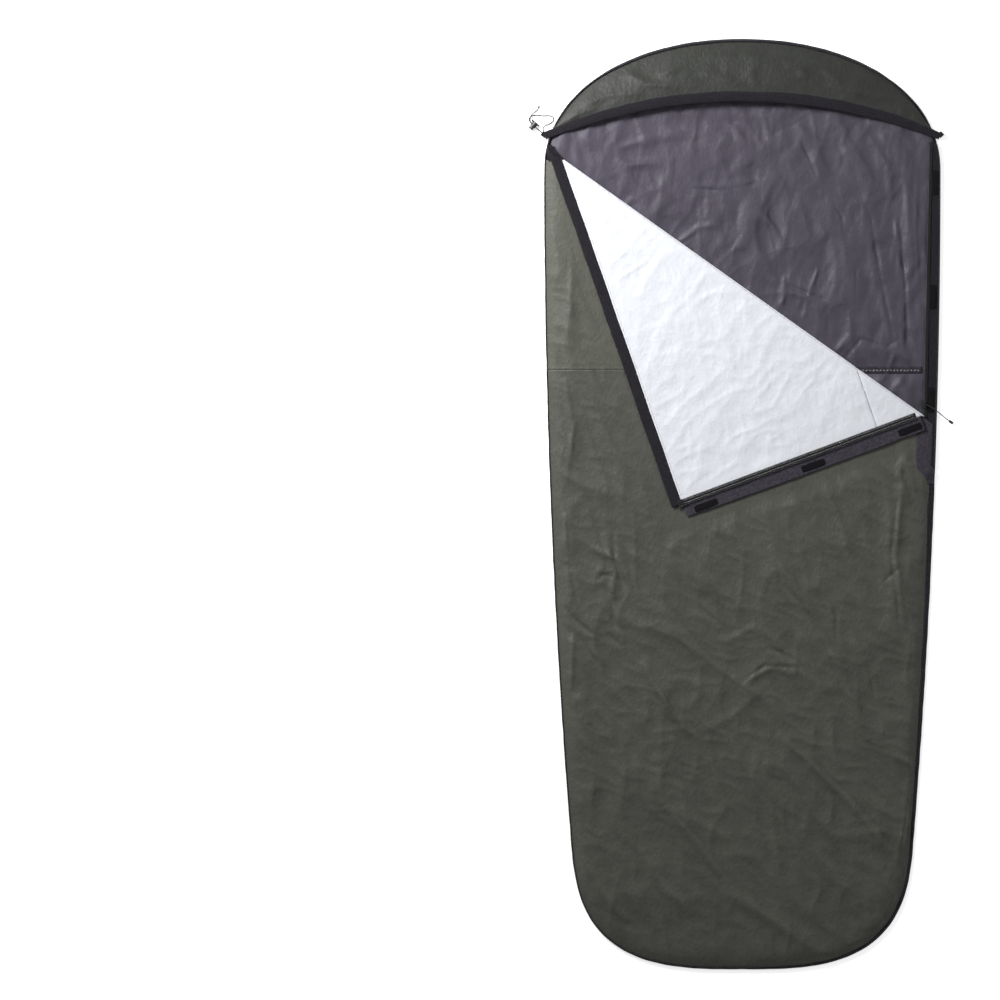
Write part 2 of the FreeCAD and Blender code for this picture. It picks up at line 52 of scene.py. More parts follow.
JOINTS = {joint["name"]: joint for joint in frame["joints"]}
HINGE = Vector(JOINTS["flap_fold"]["pos_m"])          # where the fold line meets the zip
FOLD_WAY = -Vector(JOINTS["flap_fold"]["axis"])       # from the left edge to the zip
MOUTH_WAY = Vector((-FOLD_WAY.y, FOLD_WAY.x, 0))
ZIP_WAY = Vector(JOINTS["zip_travel"]["axis"])
ZIP_RIGHT = Vector((ZIP_WAY.y, -ZIP_WAY.x, 0))
FOLD_ALONG = 0.111                                    # the hinge's distance up the zip

# The sack's outline: sides that narrow to the foot, between two rounded ends
HALF_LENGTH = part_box("hood_binding")[1].y
FOOT_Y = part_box("foot_binding")[1].y
FOOT_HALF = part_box("foot_binding")[1].x
SHOULDER_HALF = -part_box("left_binding")[0].x
SHOULDER_Y = 0.79
HOOD_DEPTH = HALF_LENGTH - SHOULDER_Y
FOOT_DEPTH = HALF_LENGTH + FOOT_Y
HOOD_POWER = 2.1              # 2 is an ellipse, and more is squarer
FOOT_POWER = 3.1
FOOT_NARROWING = 0.075        # how fast the half width shrinks below FOOT_Y

# Levels and seams
TOP_Z = 0.015                 # the top sheet's outer face, away from the edge
EDGE_Z = 0.0045               # the edge seam's height
EDGE_ROLL = 0.05              # how far in from the edge the top sheet rises to TOP_Z
SEAM_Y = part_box("top_lower_panel")[1].y
MOUTH_Y = 0.838
TOP_HEM_WIDTH = 0.026
TOP_CLOTH_END = MOUTH_Y - TOP_HEM_WIDTH
CLOTH = 0.0005
GROUND_Z = 0.0012             # the ground sheet's underside

# Hood hem
HEM_END = Vector((0.462, 0.872, 0.009))
HEM_APEX = Vector((0.0, 0.962, 0.038))
HEM_WIDTH = 0.026
HOOD_INSET = 0.003            # from the sack's edge to the hood cloth's
HOOD_HALF = 0.4475            # half the hood cloth's width

# Along the zip, from its foot end
ZIP_FOOT = HINGE - ZIP_WAY * FOLD_ALONG
ZIP_TOP_ALONG = 0.753
FLAP_ZIP_START, FLAP_ZIP_TOP = 0.1275, 0.727
STORM_TOP_ALONG = 0.716
SLIDER_ALONG = 0.141
PATCH_ALONG = (0.151, 0.395, 0.665)
PATCH_HALF = 0.029
PATCH_ACROSS = (0.0087, 0.0247)


# ---------------------------------------------------------------- shape helpers

def smooth(value):
    """0 below 0, 1 above 1, and a soft step between."""
    t = np.clip(value, 0.0, 1.0)
    return t * t * (3 - 2 * t)


def squared(value, power):
    """A cosine or sine with its sign kept, raised to a power: below 1 it squares off a circle."""
    return math.copysign(abs(value) ** power, value)


def noise(x, y, cell, seed):
    """Smooth random bumps of about -1 to 1, with cells of the given size."""
    u, v = x / cell + 31.7, y / cell + 57.3
    i, j = np.floor(u).astype(np.int64), np.floor(v).astype(np.int64)
    f, g = u - i, v - j

    def corner(a, b):
        mixed = (i + a) * 374761393 + (j + b) * 668265263 + seed * 1442695041
        mixed = (mixed ^ (mixed >> 13)) * 1274126177
        angle = ((mixed ^ (mixed >> 16)) & 0xFFFF) / 65536.0 * 2 * math.pi
        return np.cos(angle) * (f - a) + np.sin(angle) * (g - b)

    s, t = f * f * f * (f * (f * 6 - 15) + 10), g * g * g * (g * (g * 6 - 15) + 10)
    low = corner(0, 0) * (1 - s) + corner(1, 0) * s
    high = corner(0, 1) * (1 - s) + corner(1, 1) * s
    return 1.5 * (low * (1 - t) + high * t)


def noise_at(x, cell, seed):
    """The noise at one place along a line."""
    here = np.array([x])
    return float(noise(here, here * 0, cell, seed)[0])


def folds(x, y, degrees, cell, stretch, seed):
    """Long soft ridges, 0 to 1, running at an angle to X and wandering a little."""
    angle = math.radians(degrees)
    c, s = math.cos(angle), math.sin(angle)
    along, across = x * c + y * s, -x * s + y * c
    across = across + 0.5 * cell * noise(x, y, cell * 2.2, seed + 7)
    return (1 - np.abs(noise(along / stretch, across, cell, seed))) ** 3


def folded(x, y, layers):
    """Sum of layers of such ridges, each a height and what folds() takes."""
    return sum(height * folds(x, y, *layer) for height, *layer in layers)


def crease(x, y, path, width, height):
    """A ridge (or, with a negative height, a valley) along a path, fading at both ends."""
    best = np.full(x.shape, 1e9)
    place = np.zeros(x.shape)
    lengths = [math.dist(a, b) for a, b in zip(path, path[1:])]
    total, done = sum(lengths), 0.0
    for (ax, ay), (bx, by), length in zip(path, path[1:], lengths):
        t = np.clip(((x - ax) * (bx - ax) + (y - ay) * (by - ay)) / length ** 2, 0, 1)
        off = np.hypot(x - ax - t * (bx - ax), y - ay - t * (by - ay))
        nearer = off < best
        best = np.where(nearer, off, best)
        place = np.where(nearer, (done + t * length) / total, place)
        done += length
    fade = np.sqrt(np.clip(4 * place * (1 - place), 0, 1))
    return height * fade * np.exp(-(best / width) ** 1.5)


def half_width(y):
    """Half the sack's width at y, along its sides and into the hood's rounding."""
    y = np.asarray(y, float)
    way = np.clip((SHOULDER_Y - y) / (SHOULDER_Y - FOOT_Y), 0, 1)
    sides = FOOT_HALF + (SHOULDER_HALF - FOOT_HALF) * (1 - way ** 2)
    up = np.clip((y - SHOULDER_Y) / HOOD_DEPTH, 0, 1)
    down = np.clip((FOOT_Y - y) / FOOT_DEPTH, 0, 1)
    narrowing = FOOT_NARROWING * np.clip(FOOT_Y - y, 0, 1)
    hood = (1 - up ** HOOD_POWER) ** (1 / HOOD_POWER)
    foot = (1 - down ** FOOT_POWER) ** (1 / FOOT_POWER)
    return (sides - narrowing) * hood * foot


def edge_distance(x, y):
    """Distance in from the sack's edge, near enough."""
    x, y = np.abs(x), np.asarray(y, float)
    side = half_width(y) - x
    up, down = y - SHOULDER_Y, FOOT_Y - y
    reach = np.where(up > 0, up, np.where(down > 0, down, 0))
    depth = np.where(up > 0, HOOD_DEPTH, FOOT_DEPTH)
    wide = np.where(up > 0, SHOULDER_HALF, FOOT_HALF - FOOT_NARROWING * np.clip(down, 0, 1))
    power = np.where(up > 0, HOOD_POWER, FOOT_POWER)
    part = ((x / wide) ** power + (reach / depth) ** power) ** (1 / power)
    round_end = np.hypot(x, reach) * (1 / np.maximum(part, 1e-3) - 1)
    return np.where(reach > 0, round_end, side)


def right_edge(y):
    """The top sheet's right edge: the zip beside the zip, the edge seam below it."""
    zip_x = ZIP_FOOT.x + (y - ZIP_FOOT.y) * ZIP_WAY.x / ZIP_WAY.y - 0.0035
    by_zip = smooth((y - 0.075) / 0.03)
    return half_width(y) * (1 - by_zip) + zip_x * by_zip


def zip_point(along, across, z=0.0):
    """Point at a distance up the zip from its foot end, and across it to the right."""
    point = ZIP_FOOT + ZIP_WAY * along + ZIP_RIGHT * across
    return Vector((point.x, point.y, z))


def beside_zip(along, across):
    """The same for arrays: their x and y."""
    return (ZIP_FOOT.x + ZIP_WAY.x * along + ZIP_RIGHT.x * across,
            ZIP_FOOT.y + ZIP_WAY.y * along + ZIP_RIGHT.y * across)


FOLD_BACK = (Matrix.Translation(HINGE) @ Matrix.Rotation(math.pi, 4, FOLD_WAY)
             @ Matrix.Translation(-HINGE))


# ---------------------------------------------------------------- mesh helpers

def placed(name, data):
    """A new object in the scene."""
    obj = bpy.data.objects.new(name, data)
    bpy.context.scene.collection.objects.link(obj)
    return obj


def mesh_object(name, points, faces, cloths):
    """A smooth mesh object from points and faces, with one material or a list of them."""
    mesh = bpy.data.meshes.new(name)
    mesh.from_pydata([tuple(p) for p in points], [], faces)
    mesh.update()
    for each in cloths if isinstance(cloths, list) else [cloths]:
        mesh.materials.append(each)
    mesh.polygons.foreach_set("use_smooth", [True] * len(mesh.polygons))
    return placed(name, mesh)


def grid_faces(rows, columns, closed=False):
    """Quads of a grid of points, row after row; closed joins the last column to the first."""
    last = columns if closed else columns - 1
    return [(r * columns + c, r * columns + (c + 1) % columns,
             (r + 1) * columns + (c + 1) % columns, (r + 1) * columns + c)
            for r in range(rows - 1) for c in range(last)]


def tube_faces(rings, count):
    """Faces of a tube with closed ends, made of so many rings of count points each."""
    last = (rings - 1) * count
    return [*grid_faces(rings, count, closed=True), tuple(range(count))[::-1],
            tuple(last + i for i in range(count))]


def closed_tube(name, rings, mat):
    """A tube from rings of points, with its ends closed."""
    points = [p for ring in rings for p in ring]
    return mesh_object(name, points, tube_faces(len(rings), len(rings[0])), mat)


def grid_object(name, x, y, z, cloths):
    """A sheet from arrays of rows and columns."""
    points = np.stack([x, y, z], -1).reshape(-1, 3)
    return mesh_object(name, points, grid_faces(*x.shape), cloths)


def cut(obj, point, normal, closed=False):
    """Keep the part of a mesh on the normal's side of a plane; closed fills the cut of a closed shape."""
    bm = bmesh.new()
    bm.from_mesh(obj.data)
    geometry = bm.verts[:] + bm.edges[:] + bm.faces[:]
    result = bmesh.ops.bisect_plane(bm, geom=geometry, plane_co=point, plane_no=normal, clear_inner=True,
                                    dist=1e-6)
    if closed:
        rim = [e for e in result["geom_cut"] if isinstance(e, bmesh.types.BMEdge)]
        bmesh.ops.holes_fill(bm, edges=rim)
    else:
        bmesh.ops.remove_doubles(bm, verts=bm.verts, dist=1e-5)
    bm.to_mesh(obj.data)
    bm.free()


def thicken(obj, thickness=CLOTH, two_sided=False, edges=0):
    """Give a sheet its thickness, below its outer face, and a second material inside if it has one.

    edges says which of the two materials the cut edges take."""
    solid = obj.modifiers.new("thickness", "SOLIDIFY")
    solid.thickness = thickness
    solid.offset = -1
    solid.use_even_offset = False
    solid.material_offset = 1 if two_sided else 0
    solid.material_offset_rim = edges
    settle(obj)
    return obj


def settle(obj):
    """Apply every modifier."""
    bpy.context.view_layer.update()
    evaluated = obj.evaluated_get(bpy.context.evaluated_depsgraph_get())
    mesh = bpy.data.meshes.new_from_object(evaluated)
    old = obj.data
    obj.modifiers.clear()
    obj.data = mesh
    bpy.data.meshes.remove(old)
    return obj


def fold_back(obj):
    """Turn a sheet modelled closed to its folded place."""
    obj.data.transform(FOLD_BACK)
    return obj


def belongs(obj, body, slot, *nodes):
    """Let a piece ride on a body and stand for CAD nodes; the slot is not used."""
    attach(obj, body)
    if nodes:
        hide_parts(*nodes)
    return obj


# ---------------------------------------------------------------- materials

def triple(value):
    """Three alike numbers from one, or the three given."""
    return value if isinstance(value, tuple) else (value,) * 3


class Material:
    """A new material, with short ways to feed its shader textures, ramps, mixes and bumps."""

    def __init__(self, name):
        self.made = bpy.data.materials.new(name)
        self.made.use_nodes = True
        self.nodes, self.links = self.made.node_tree.nodes, self.made.node_tree.links
        self.inputs = self.nodes["Principled BSDF"].inputs
        self.coordinates = self.nodes.new("ShaderNodeTexCoord").outputs["Object"]

    def feed(self, socket, value):
        """Feed a socket from another socket, or set it to a number or a colour."""
        if isinstance(value, bpy.types.NodeSocket):
            self.links.new(value, socket)
        else:
            socket.default_value = (*value, 1) if isinstance(value, tuple) else value

    def texture(self, kind, scale, rotation=(0, 0, 0), **settings):
        """A Noise, Wave or Voronoi texture on stretched object coordinates."""
        mapping = self.nodes.new("ShaderNodeMapping")
        mapping.inputs["Scale"].default_value = triple(scale)
        mapping.inputs["Rotation"].default_value = rotation
        self.links.new(self.coordinates, mapping.inputs["Vector"])
        node = self.nodes.new("ShaderNodeTex" + kind)
        for key, value in settings.items():
            if key in node.inputs:
                node.inputs[key].default_value = value
            else:
                setattr(node, key, value)
        self.links.new(mapping.outputs["Vector"], node.inputs["Vector"])
        return node.outputs[0]

    def noise(self, scale, detail, **settings):
        """Cloudy spots, about so many to the metre."""
        return self.texture("Noise", scale, Detail=detail, **settings)

    def bands(self, scale, direction="DIAGONAL", **settings):
        """Soft parallel bands."""
        return self.texture("Wave", scale, bands_direction=direction, **settings)

    def crossed_bands(self, scale, **settings):
        """Bands along X and bands along Y."""
        return [self.bands(scale, way, **settings) for way in "XY"]

    def ramp(self, value, low, high):
        """Colours or greys along a value, between two of (place, colour)."""
        node = self.nodes.new("ShaderNodeValToRGB")
        for element, (place, colour) in zip(node.color_ramp.elements, (low, high)):
            element.position = place
            element.color = (*triple(colour), 1)
        self.links.new(value, node.inputs["Fac"])
        return node.outputs["Color"]

    def mixed(self, factor, a, b, blend="MIX"):
        """Mix of two colours."""
        node = self.nodes.new("ShaderNodeMix")
        node.data_type = "RGBA"
        node.blend_type = blend
        for place, value in ((0, factor), (6, a), (7, b)):
            self.feed(node.inputs[place], value)
        return node.outputs[2]

    def maths(self, operation, a, b):
        """One sum on two values."""
        node = self.nodes.new("ShaderNodeMath")
        node.operation = operation
        self.feed(node.inputs[0], a)
        self.feed(node.inputs[1], b)
        return node.outputs[0]

    def finished(self, colour, roughness, bumps=(), **others):
        """The material, once its shader has its colour, roughness, bumps and other fixed values.

        A bump is (height, strength, distance), and they stack."""
        self.feed(self.inputs["Base Color"], colour)
        self.feed(self.inputs["Roughness"], roughness)
        for name, value in others.items():
            self.inputs[name.replace("_", " ")].default_value = value
        normal = None
        for height, strength, distance in bumps:
            node = self.nodes.new("ShaderNodeBump")
            node.inputs["Strength"].default_value = strength
            node.inputs["Distance"].default_value = distance
            self.links.new(height, node.inputs["Height"])
            if normal is not None:
                self.links.new(normal, node.inputs["Normal"])
            normal = node.outputs["Normal"]
            self.links.new(normal, self.inputs["Normal"])
        return self.made


def scaled(colour, factor):
    """A colour made lighter or darker."""
    return tuple(min(1.0, c * factor) for c in colour)


def taffeta(name, colour, roughness=0.55, sheen=0.08, ripstop=0.0, variation=0.10, streaks=0.05,
            crumple=0.25, drape=0.0):
    """Smooth woven shell cloth: faint warp streaks, cloudy colour, fine weave, crumples and soft folds."""
    mat = Material(name)
    cloud = mat.noise(7, 5, Roughness=0.6)
    streak = mat.noise((260, 5, 60), 3)
    base = mat.ramp(cloud, (0.25, scaled(colour, 1 - variation)), (0.75, scaled(colour, 1 + variation)))
    tone = mat.ramp(streak, (0.3, 1 - streaks), (0.7, 1 + streaks * 0.6))
    base = mat.mixed(1.0, base, tone, "MULTIPLY")
    weave = mat.maths("MULTIPLY", *mat.crossed_bands(900, Distortion=0.4))
    crumples = mat.noise((24, 16, 20), 2, Roughness=0.4, Distortion=0.5)
    layers = [(crumples, crumple, 0.006), (weave, 0.12, 0.0002)]
    if drape:
        layers.append((mat.noise((4.5, 2.4, 4), 0.5, Distortion=0.5), drape, 0.03))
    if ripstop:
        lines = [mat.ramp(band, (0.86, 0.0), (0.98, 1.0)) for band in mat.crossed_bands(62)]
        grid = mat.mixed(1.0, *lines, "LIGHTEN")
        base = mat.mixed(mat.maths("MULTIPLY", grid, ripstop), base, scaled(colour, 0.6))
        layers.append((grid, 0.15, 0.0003))
    rough = mat.ramp(cloud, (0.2, roughness - 0.05), (0.8, roughness + 0.06))
    return mat.finished(base, rough, layers, Sheen_Weight=sheen, Sheen_Roughness=0.45,
                        Specular_IOR_Level=0.28)


def laminate(name, colour):
    """White inner face of the laminated cloth, with its fine dotted grid on the bias."""
    mat = Material(name)
    cloud = mat.noise(9, 4)
    base = mat.ramp(cloud, (0.3, scaled(colour, 0.965)), (0.7, scaled(colour, 1.015)))
    dots = mat.maths("MULTIPLY", *mat.crossed_bands(105, rotation=(0, 0, math.radians(28))))
    dot_colour = (colour[0] * 0.62, colour[1] * 0.65, colour[2] * 0.74)
    base = mat.mixed(mat.maths("MULTIPLY", dots, 0.17), base, dot_colour)
    crumples = mat.noise((20, 16, 20), 1.5, Distortion=0.6)
    return mat.finished(base, 0.55, [(crumples, 0.2, 0.005), (dots, 0.2, 0.0002)], Sheen_Weight=0.1)


def trim(name, colour, crinkle=0.5, scale=70, mottle=(0.5, 0.5, 0.5), palest_tone_and_painted_light=1.5):
    """Matt woven trim with short crinkles and a visible weave; its mottled colour is partly random tone and
    partly painted light and shade of the crinkles.
    """
    mat = Material(name)
    cloud = mat.noise(tuple(scale * part for part in mottle), 5, Roughness=0.65)
    # Mottle from dark to pale: partly the cloth's random tone, partly painted light and shade of its
    # crinkles.
    base = mat.ramp(cloud, (0.35, scaled(colour, 0.7)), (0.68, scaled(colour, palest_tone_and_painted_light)))
    crinkles = mat.noise((scale, scale * 1.9, scale), 2, Distortion=1.2)
    rough = mat.ramp(crinkles, (0.2, 0.62), (0.8, 0.78))
    layers = [(crinkles, crinkle, 0.006), (mat.bands(500), 0.25, 0.0003)]
    return mat.finished(base, rough, layers, Sheen_Weight=0.06, Specular_IOR_Level=0.22)


def hooks(name, colour):
    """Touch-and-close tape: a mat of tiny hooks."""
    mat = Material(name)
    pile = mat.texture("Voronoi", 900)
    base = mat.ramp(pile, (0.0, scaled(colour, 0.5)), (0.8, scaled(colour, 1.6)))
    return mat.finished(base, 0.9, [(pile, 0.9, 0.0006)], Specular_IOR_Level=0.15)


def moulded(name, colour, roughness=0.38):
    """Nylon or acetal with a fine moulded grain and rubbed edges."""
    mat = Material(name)
    cloud = mat.noise(160, 3)
    base = mat.ramp(cloud, (0.3, scaled(colour, 0.8)), (0.75, scaled(colour, 1.5)))
    rough = mat.ramp(cloud, (0.3, roughness - 0.06), (0.7, roughness + 0.1))
    return mat.finished(base, rough, [(mat.noise(1500, 2), 0.2, 0.0002)])


def metal(name, colour, roughness=0.3, metallic=1.0):
    """Enamelled or bare metal with faint wear."""
    mat = Material(name)
    wear = mat.noise(400, 4)
    base = mat.ramp(wear, (0.35, scaled(colour, 0.8)), (0.7, scaled(colour, 1.8)))
    rough = mat.ramp(wear, (0.3, roughness), (0.7, roughness + 0.15))
    return mat.finished(base, rough, [(wear, 0.1, 0.0001)], Metallic=metallic)


def braid(name, colour, fleck):
    """Braided elastic cord: diagonal strands with a lighter fleck."""
    mat = Material(name)
    strands = mat.maths("MAXIMUM", mat.bands(420), mat.bands((420, -420, 420)))
    base = mat.ramp(strands, (0.3, scaled(colour, 0.5)), (0.9, scaled(colour, 1.5)))
    spots = mat.ramp(mat.noise(700, 1), (0.6, 0.0), (0.68, 1.0))
    base = mat.mixed(mat.maths("MULTIPLY", spots, 0.35), base, fleck)
    return mat.finished(base, 0.7, [(strands, 0.7, 0.0004)])


def thread(name, colour):
    """Twisted sewing thread."""
    mat = Material(name)
    twist = mat.bands(1500)
    base = mat.ramp(twist, (0.2, scaled(colour, 0.75)), (0.8, scaled(colour, 1.15)))
    return mat.finished(base, 0.6, [(twist, 0.4, 0.0002)])


OLIVE_UPPER = taffeta("olive_upper_cloth", (0.080, 0.081, 0.065))
OLIVE_LOWER = taffeta("olive_lower_cloth", (0.069, 0.071, 0.058))
# The hood's olive, painted about three times darker than the body's: painted shade for the hood's slope
# turned away from the light.
OLIVE_HOOD_PAINTED_SHADE = taffeta("olive_hood_cloth_painted_shade", (0.027, 0.0285, 0.0245))
LINING = taffeta("ripstop_lining", (0.065, 0.057, 0.077), roughness=0.5, sheen=0.05, ripstop=0.35,
                 variation=0.08, streaks=0.03, crumple=0.16, drape=0.36)
WHITE = laminate("white_laminate", (0.68, 0.695, 0.73))
# The dark trim's mottle reaches 2.2 times its colour: partly random tone, partly painted light and shade of
# the crinkles.
TRIM = trim("dark_trim", (0.0095, 0.0078, 0.0120), crinkle=0.9, scale=60, mottle=(1.2, 2.2, 1.2),
            palest_tone_and_painted_light=2.2)
TRIM_PURPLE = trim("purple_grey_trim", (0.046, 0.040, 0.054), crinkle=0.7)
TAPE = trim("zip_tape_weave", (0.010, 0.010, 0.011), crinkle=0.2, scale=120)
SEAM_TAPE = trim("seam_tape_smooth", (0.026, 0.023, 0.031), crinkle=0.3, scale=40)
COIL = moulded("zip_coil_nylon", (0.05, 0.05, 0.053), roughness=0.3)
ENAMEL = metal("black_enamel", (0.03, 0.03, 0.032), metallic=0.4)
STEEL = metal("spring_steel_wire", (0.5, 0.5, 0.52), roughness=0.25)
PLASTIC = moulded("black_acetal", (0.018, 0.018, 0.02))
HOOKS = hooks("hook_and_loop", (0.006, 0.0055, 0.0065))
CORD = braid("black_elastic_cord", (0.02, 0.02, 0.022), (0.25, 0.25, 0.26))
THREAD_DARK = thread("dark_thread", (0.03, 0.027, 0.032))
THREAD_LIGHT = thread("light_thread", (0.62, 0.62, 0.64))


# ---------------------------------------------------------------- cloth relief

# Long creases of the top sheet, each a path, a width and a height, in metres
TOP_CREASES = [
    ([(0.06, -0.10), (0.15, -0.23), (0.235, -0.40), (0.30, -0.56)], 0.012, 0.0035),
    ([(0.083, -0.54), (0.17, -0.62), (0.254, -0.70), (0.35, -0.83)], 0.010, 0.0035),
    ([(-0.24, -0.37), (-0.18, -0.47), (-0.12, -0.55)], 0.011, 0.0038),
    ([(-0.12, -0.55), (-0.02, -0.50), (0.06, -0.42)], 0.014, 0.0022),
    ([(-0.18, -0.71), (-0.11, -0.80), (-0.05, -0.88)], 0.010, 0.003),
    ([(-0.05, -0.91), (0.08, -0.99), (0.21, -1.085)], 0.012, 0.0035),
    ([(-0.40, -0.80), (-0.34, -0.91), (-0.27, -0.99)], 0.012, 0.003),
    ([(-0.24, -0.81), (-0.20, -0.90), (-0.13, -0.96)], 0.012, 0.0025),
    ([(-0.33, -0.07), (-0.30, -0.16), (-0.31, -0.23)], 0.008, 0.003),
    ([(-0.36, -0.10), (-0.30, -0.13), (-0.27, -0.18)], 0.008, 0.0026),
    ([(-0.42, -0.02), (-0.415, -0.14)], 0.006, 0.003),
    ([(-0.40, -0.30), (-0.405, -0.44)], 0.006, 0.003),
    ([(-0.39, -0.45), (-0.36, -0.52)], 0.008, 0.0025),
    ([(0.30, -0.83), (0.37, -0.95)], 0.010, 0.003),
    ([(0.31, -0.97), (0.34, -1.00), (0.39, -0.90)], 0.009, 0.0025),
    ([(0.375, 0.05), (0.36, -0.12), (0.385, -0.3)], 0.009, 0.003),
    ([(0.385, 0.16), (0.37, 0.07), (0.395, 0.0)], 0.008, 0.0035),
    ([(0.40, 0.17), (0.385, 0.10), (0.41, 0.03)], 0.006, 0.0028),
    ([(-0.05, -0.33), (0.03, -0.29), (0.10, -0.34)], 0.010, 0.002),
    ([(0.0, -0.42), (0.08, -0.38), (0.12, -0.41)], 0.008, 0.002),
    ([(-0.15, 0.02), (-0.07, -0.06), (0.02, -0.09)], 0.014, 0.002),
    ([(0.40, -0.60), (0.385, -0.75), (0.36, -0.86)], 0.008, 0.003),
    ([(-0.42, 0.30), (-0.40, 0.18), (-0.415, 0.06)], 0.008, 0.0025),
    ([(-0.44, 0.72), (-0.40, 0.58), (-0.41, 0.44)], 0.008, 0.003),
    ([(-0.43, 0.80), (-0.37, 0.70), (-0.30, 0.62)], 0.010, 0.003),
    ([(-0.36, 0.80), (-0.25, 0.72), (-0.16, 0.60)], 0.014, 0.0022),
    ([(0.10, 0.66), (0.20, 0.55), (0.33, 0.47)], 0.014, 0.0022),
    ([(0.30, 0.80), (0.34, 0.66), (0.36, 0.50)], 0.010, 0.0025),
    ([(-0.02, 0.76), (0.08, 0.70), (0.20, 0.69)], 0.015, 0.002),
    ([(0.385, 0.78), (0.37, 0.60), (0.385, 0.40), (0.37, 0.25)], 0.007, 0.003),
]

# Narrow pinched valleys between those creases
TOP_VALLEYS = [
    ([(0.079, -0.126), (0.091, -0.187), (0.129, -0.227), (0.187, -0.310), (0.235, -0.423),
      (0.259, -0.454)], 0.0026),
    ([(0.219, -0.240), (0.223, -0.327)], 0.0020),
    ([(0.296, -0.380), (0.315, -0.454)], 0.0020),
    ([(0.371, -0.151), (0.332, -0.184)], 0.0020),
    ([(0.054, -0.341), (0.091, -0.351), (0.110, -0.370)], 0.0020),
    ([(-0.006, -0.423), (0.054, -0.382), (0.129, -0.387), (0.163, -0.454)], 0.0022),
    ([(-0.307, -0.058), (-0.303, -0.124), (-0.280, -0.203)], 0.0024),
    ([(-0.347, -0.185), (-0.330, -0.166), (-0.309, -0.170), (-0.295, -0.185)], 0.0022),
    ([(-0.325, -0.196), (-0.302, -0.233)], 0.0022),
    ([(-0.309, -0.239), (-0.303, -0.284), (-0.283, -0.303)], 0.0022),
    ([(-0.321, -0.305), (-0.286, -0.338)], 0.0020),
    ([(-0.420, -0.091), (-0.416, -0.133)], 0.0020),
    ([(-0.407, -0.148), (-0.389, -0.232)], 0.0024),
    ([(-0.428, -0.230), (-0.399, -0.272), (-0.353, -0.311)], 0.0024),
    ([(-0.395, -0.305), (-0.335, -0.390)], 0.0022),
    ([(-0.111, -0.115), (-0.057, -0.200)], 0.0018),
    ([(-0.178, -0.236), (-0.117, -0.320)], 0.0018),
    ([(-0.102, -0.245), (-0.045, -0.290)], 0.0018),
    ([(0.10, -0.55), (0.19, -0.63), (0.27, -0.71), (0.36, -0.82)], 0.0024),
    ([(-0.22, -0.39), (-0.16, -0.48), (-0.10, -0.55)], 0.0022),
    ([(-0.16, -0.73), (-0.09, -0.81), (-0.03, -0.89)], 0.0020),
    ([(0.37, 0.03), (0.352, -0.12), (0.372, -0.28)], 0.0024),
]

# Creases of the ground sheet's lining, seen through the mouth
LINING_CREASES = [
    ([(-0.30, 0.62), (-0.22, 0.70), (-0.15, 0.77), (-0.09, 0.83), (-0.02, 0.855)], 0.020, 0.0055),
    ([(-0.02, 0.855), (0.05, 0.83), (0.06, 0.77), (0.03, 0.70), (-0.01, 0.60)], 0.018, 0.006),
    ([(0.09, 0.88), (0.12, 0.80), (0.17, 0.71), (0.24, 0.62), (0.25, 0.47)], 0.022, 0.007),
    ([(0.13, 0.90), (0.17, 0.84), (0.20, 0.74), (0.215, 0.66)], 0.012, 0.005),
    ([(0.255, 0.68), (0.258, 0.56), (0.257, 0.40)], 0.004, 0.0035),
    ([(0.286, 0.71), (0.313, 0.53), (0.35, 0.39)], 0.004, 0.0035),
    ([(0.363, 0.67), (0.375, 0.50), (0.381, 0.36)], 0.004, 0.004),
    ([(0.386, 0.84), (0.392, 0.68), (0.401, 0.54)], 0.006, 0.004),
    ([(0.415, 0.80), (0.41, 0.66), (0.418, 0.50)], 0.005, 0.003),
    ([(0.109, 0.502), (0.207, 0.472)], 0.004, 0.0025),
    ([(0.18, 0.56), (0.16, 0.50), (0.145, 0.44)], 0.004, 0.003),
    ([(0.10, 0.54), (0.095, 0.47)], 0.005, 0.003),
    ([(-0.12, 0.755), (-0.05, 0.748), (0.03, 0.765)], 0.006, 0.0035),
    ([(-0.09, 0.71), (0.0, 0.725)], 0.005, 0.0025),
    ([(0.03, 0.70), (0.07, 0.66), (0.10, 0.60)], 0.008, 0.0035),
    ([(0.02, 0.66), (0.04, 0.58), (0.09, 0.52)], 0.008, 0.003),
    ([(-0.24, 0.70), (-0.25, 0.63), (-0.22, 0.58)], 0.006, 0.0035),
    ([(-0.20, 0.74), (-0.26, 0.72), (-0.30, 0.68)], 0.006, 0.003),
    ([(-0.36, 0.76), (-0.28, 0.80), (-0.18, 0.81)], 0.010, 0.003),
    ([(-0.30, 0.84), (-0.20, 0.87), (-0.08, 0.88)], 0.010, 0.0028),
    ([(0.22, 0.88), (0.28, 0.80), (0.33, 0.72)], 0.012, 0.003),
    ([(0.30, 0.87), (0.345, 0.80), (0.35, 0.72)], 0.008, 0.003),
    ([(0.22, 0.36), (0.26, 0.40), (0.27, 0.47)], 0.007, 0.004),
    ([(0.31, 0.275), (0.345, 0.31), (0.36, 0.36)], 0.006, 0.0035),
    ([(0.345, 0.26), (0.37, 0.285), (0.385, 0.31)], 0.006, 0.003),
    ([(0.20, 0.47), (0.23, 0.52), (0.22, 0.60)], 0.006, 0.003),
    ([(-0.15, 0.62), (-0.10, 0.655), (-0.06, 0.66)], 0.006, 0.0028),
    ([(-0.02, 0.90), (0.0, 0.84), (0.02, 0.80)], 0.010, 0.003),
    ([(0.05, 0.92), (0.065, 0.86), (0.05, 0.81)], 0.008, 0.003),
]

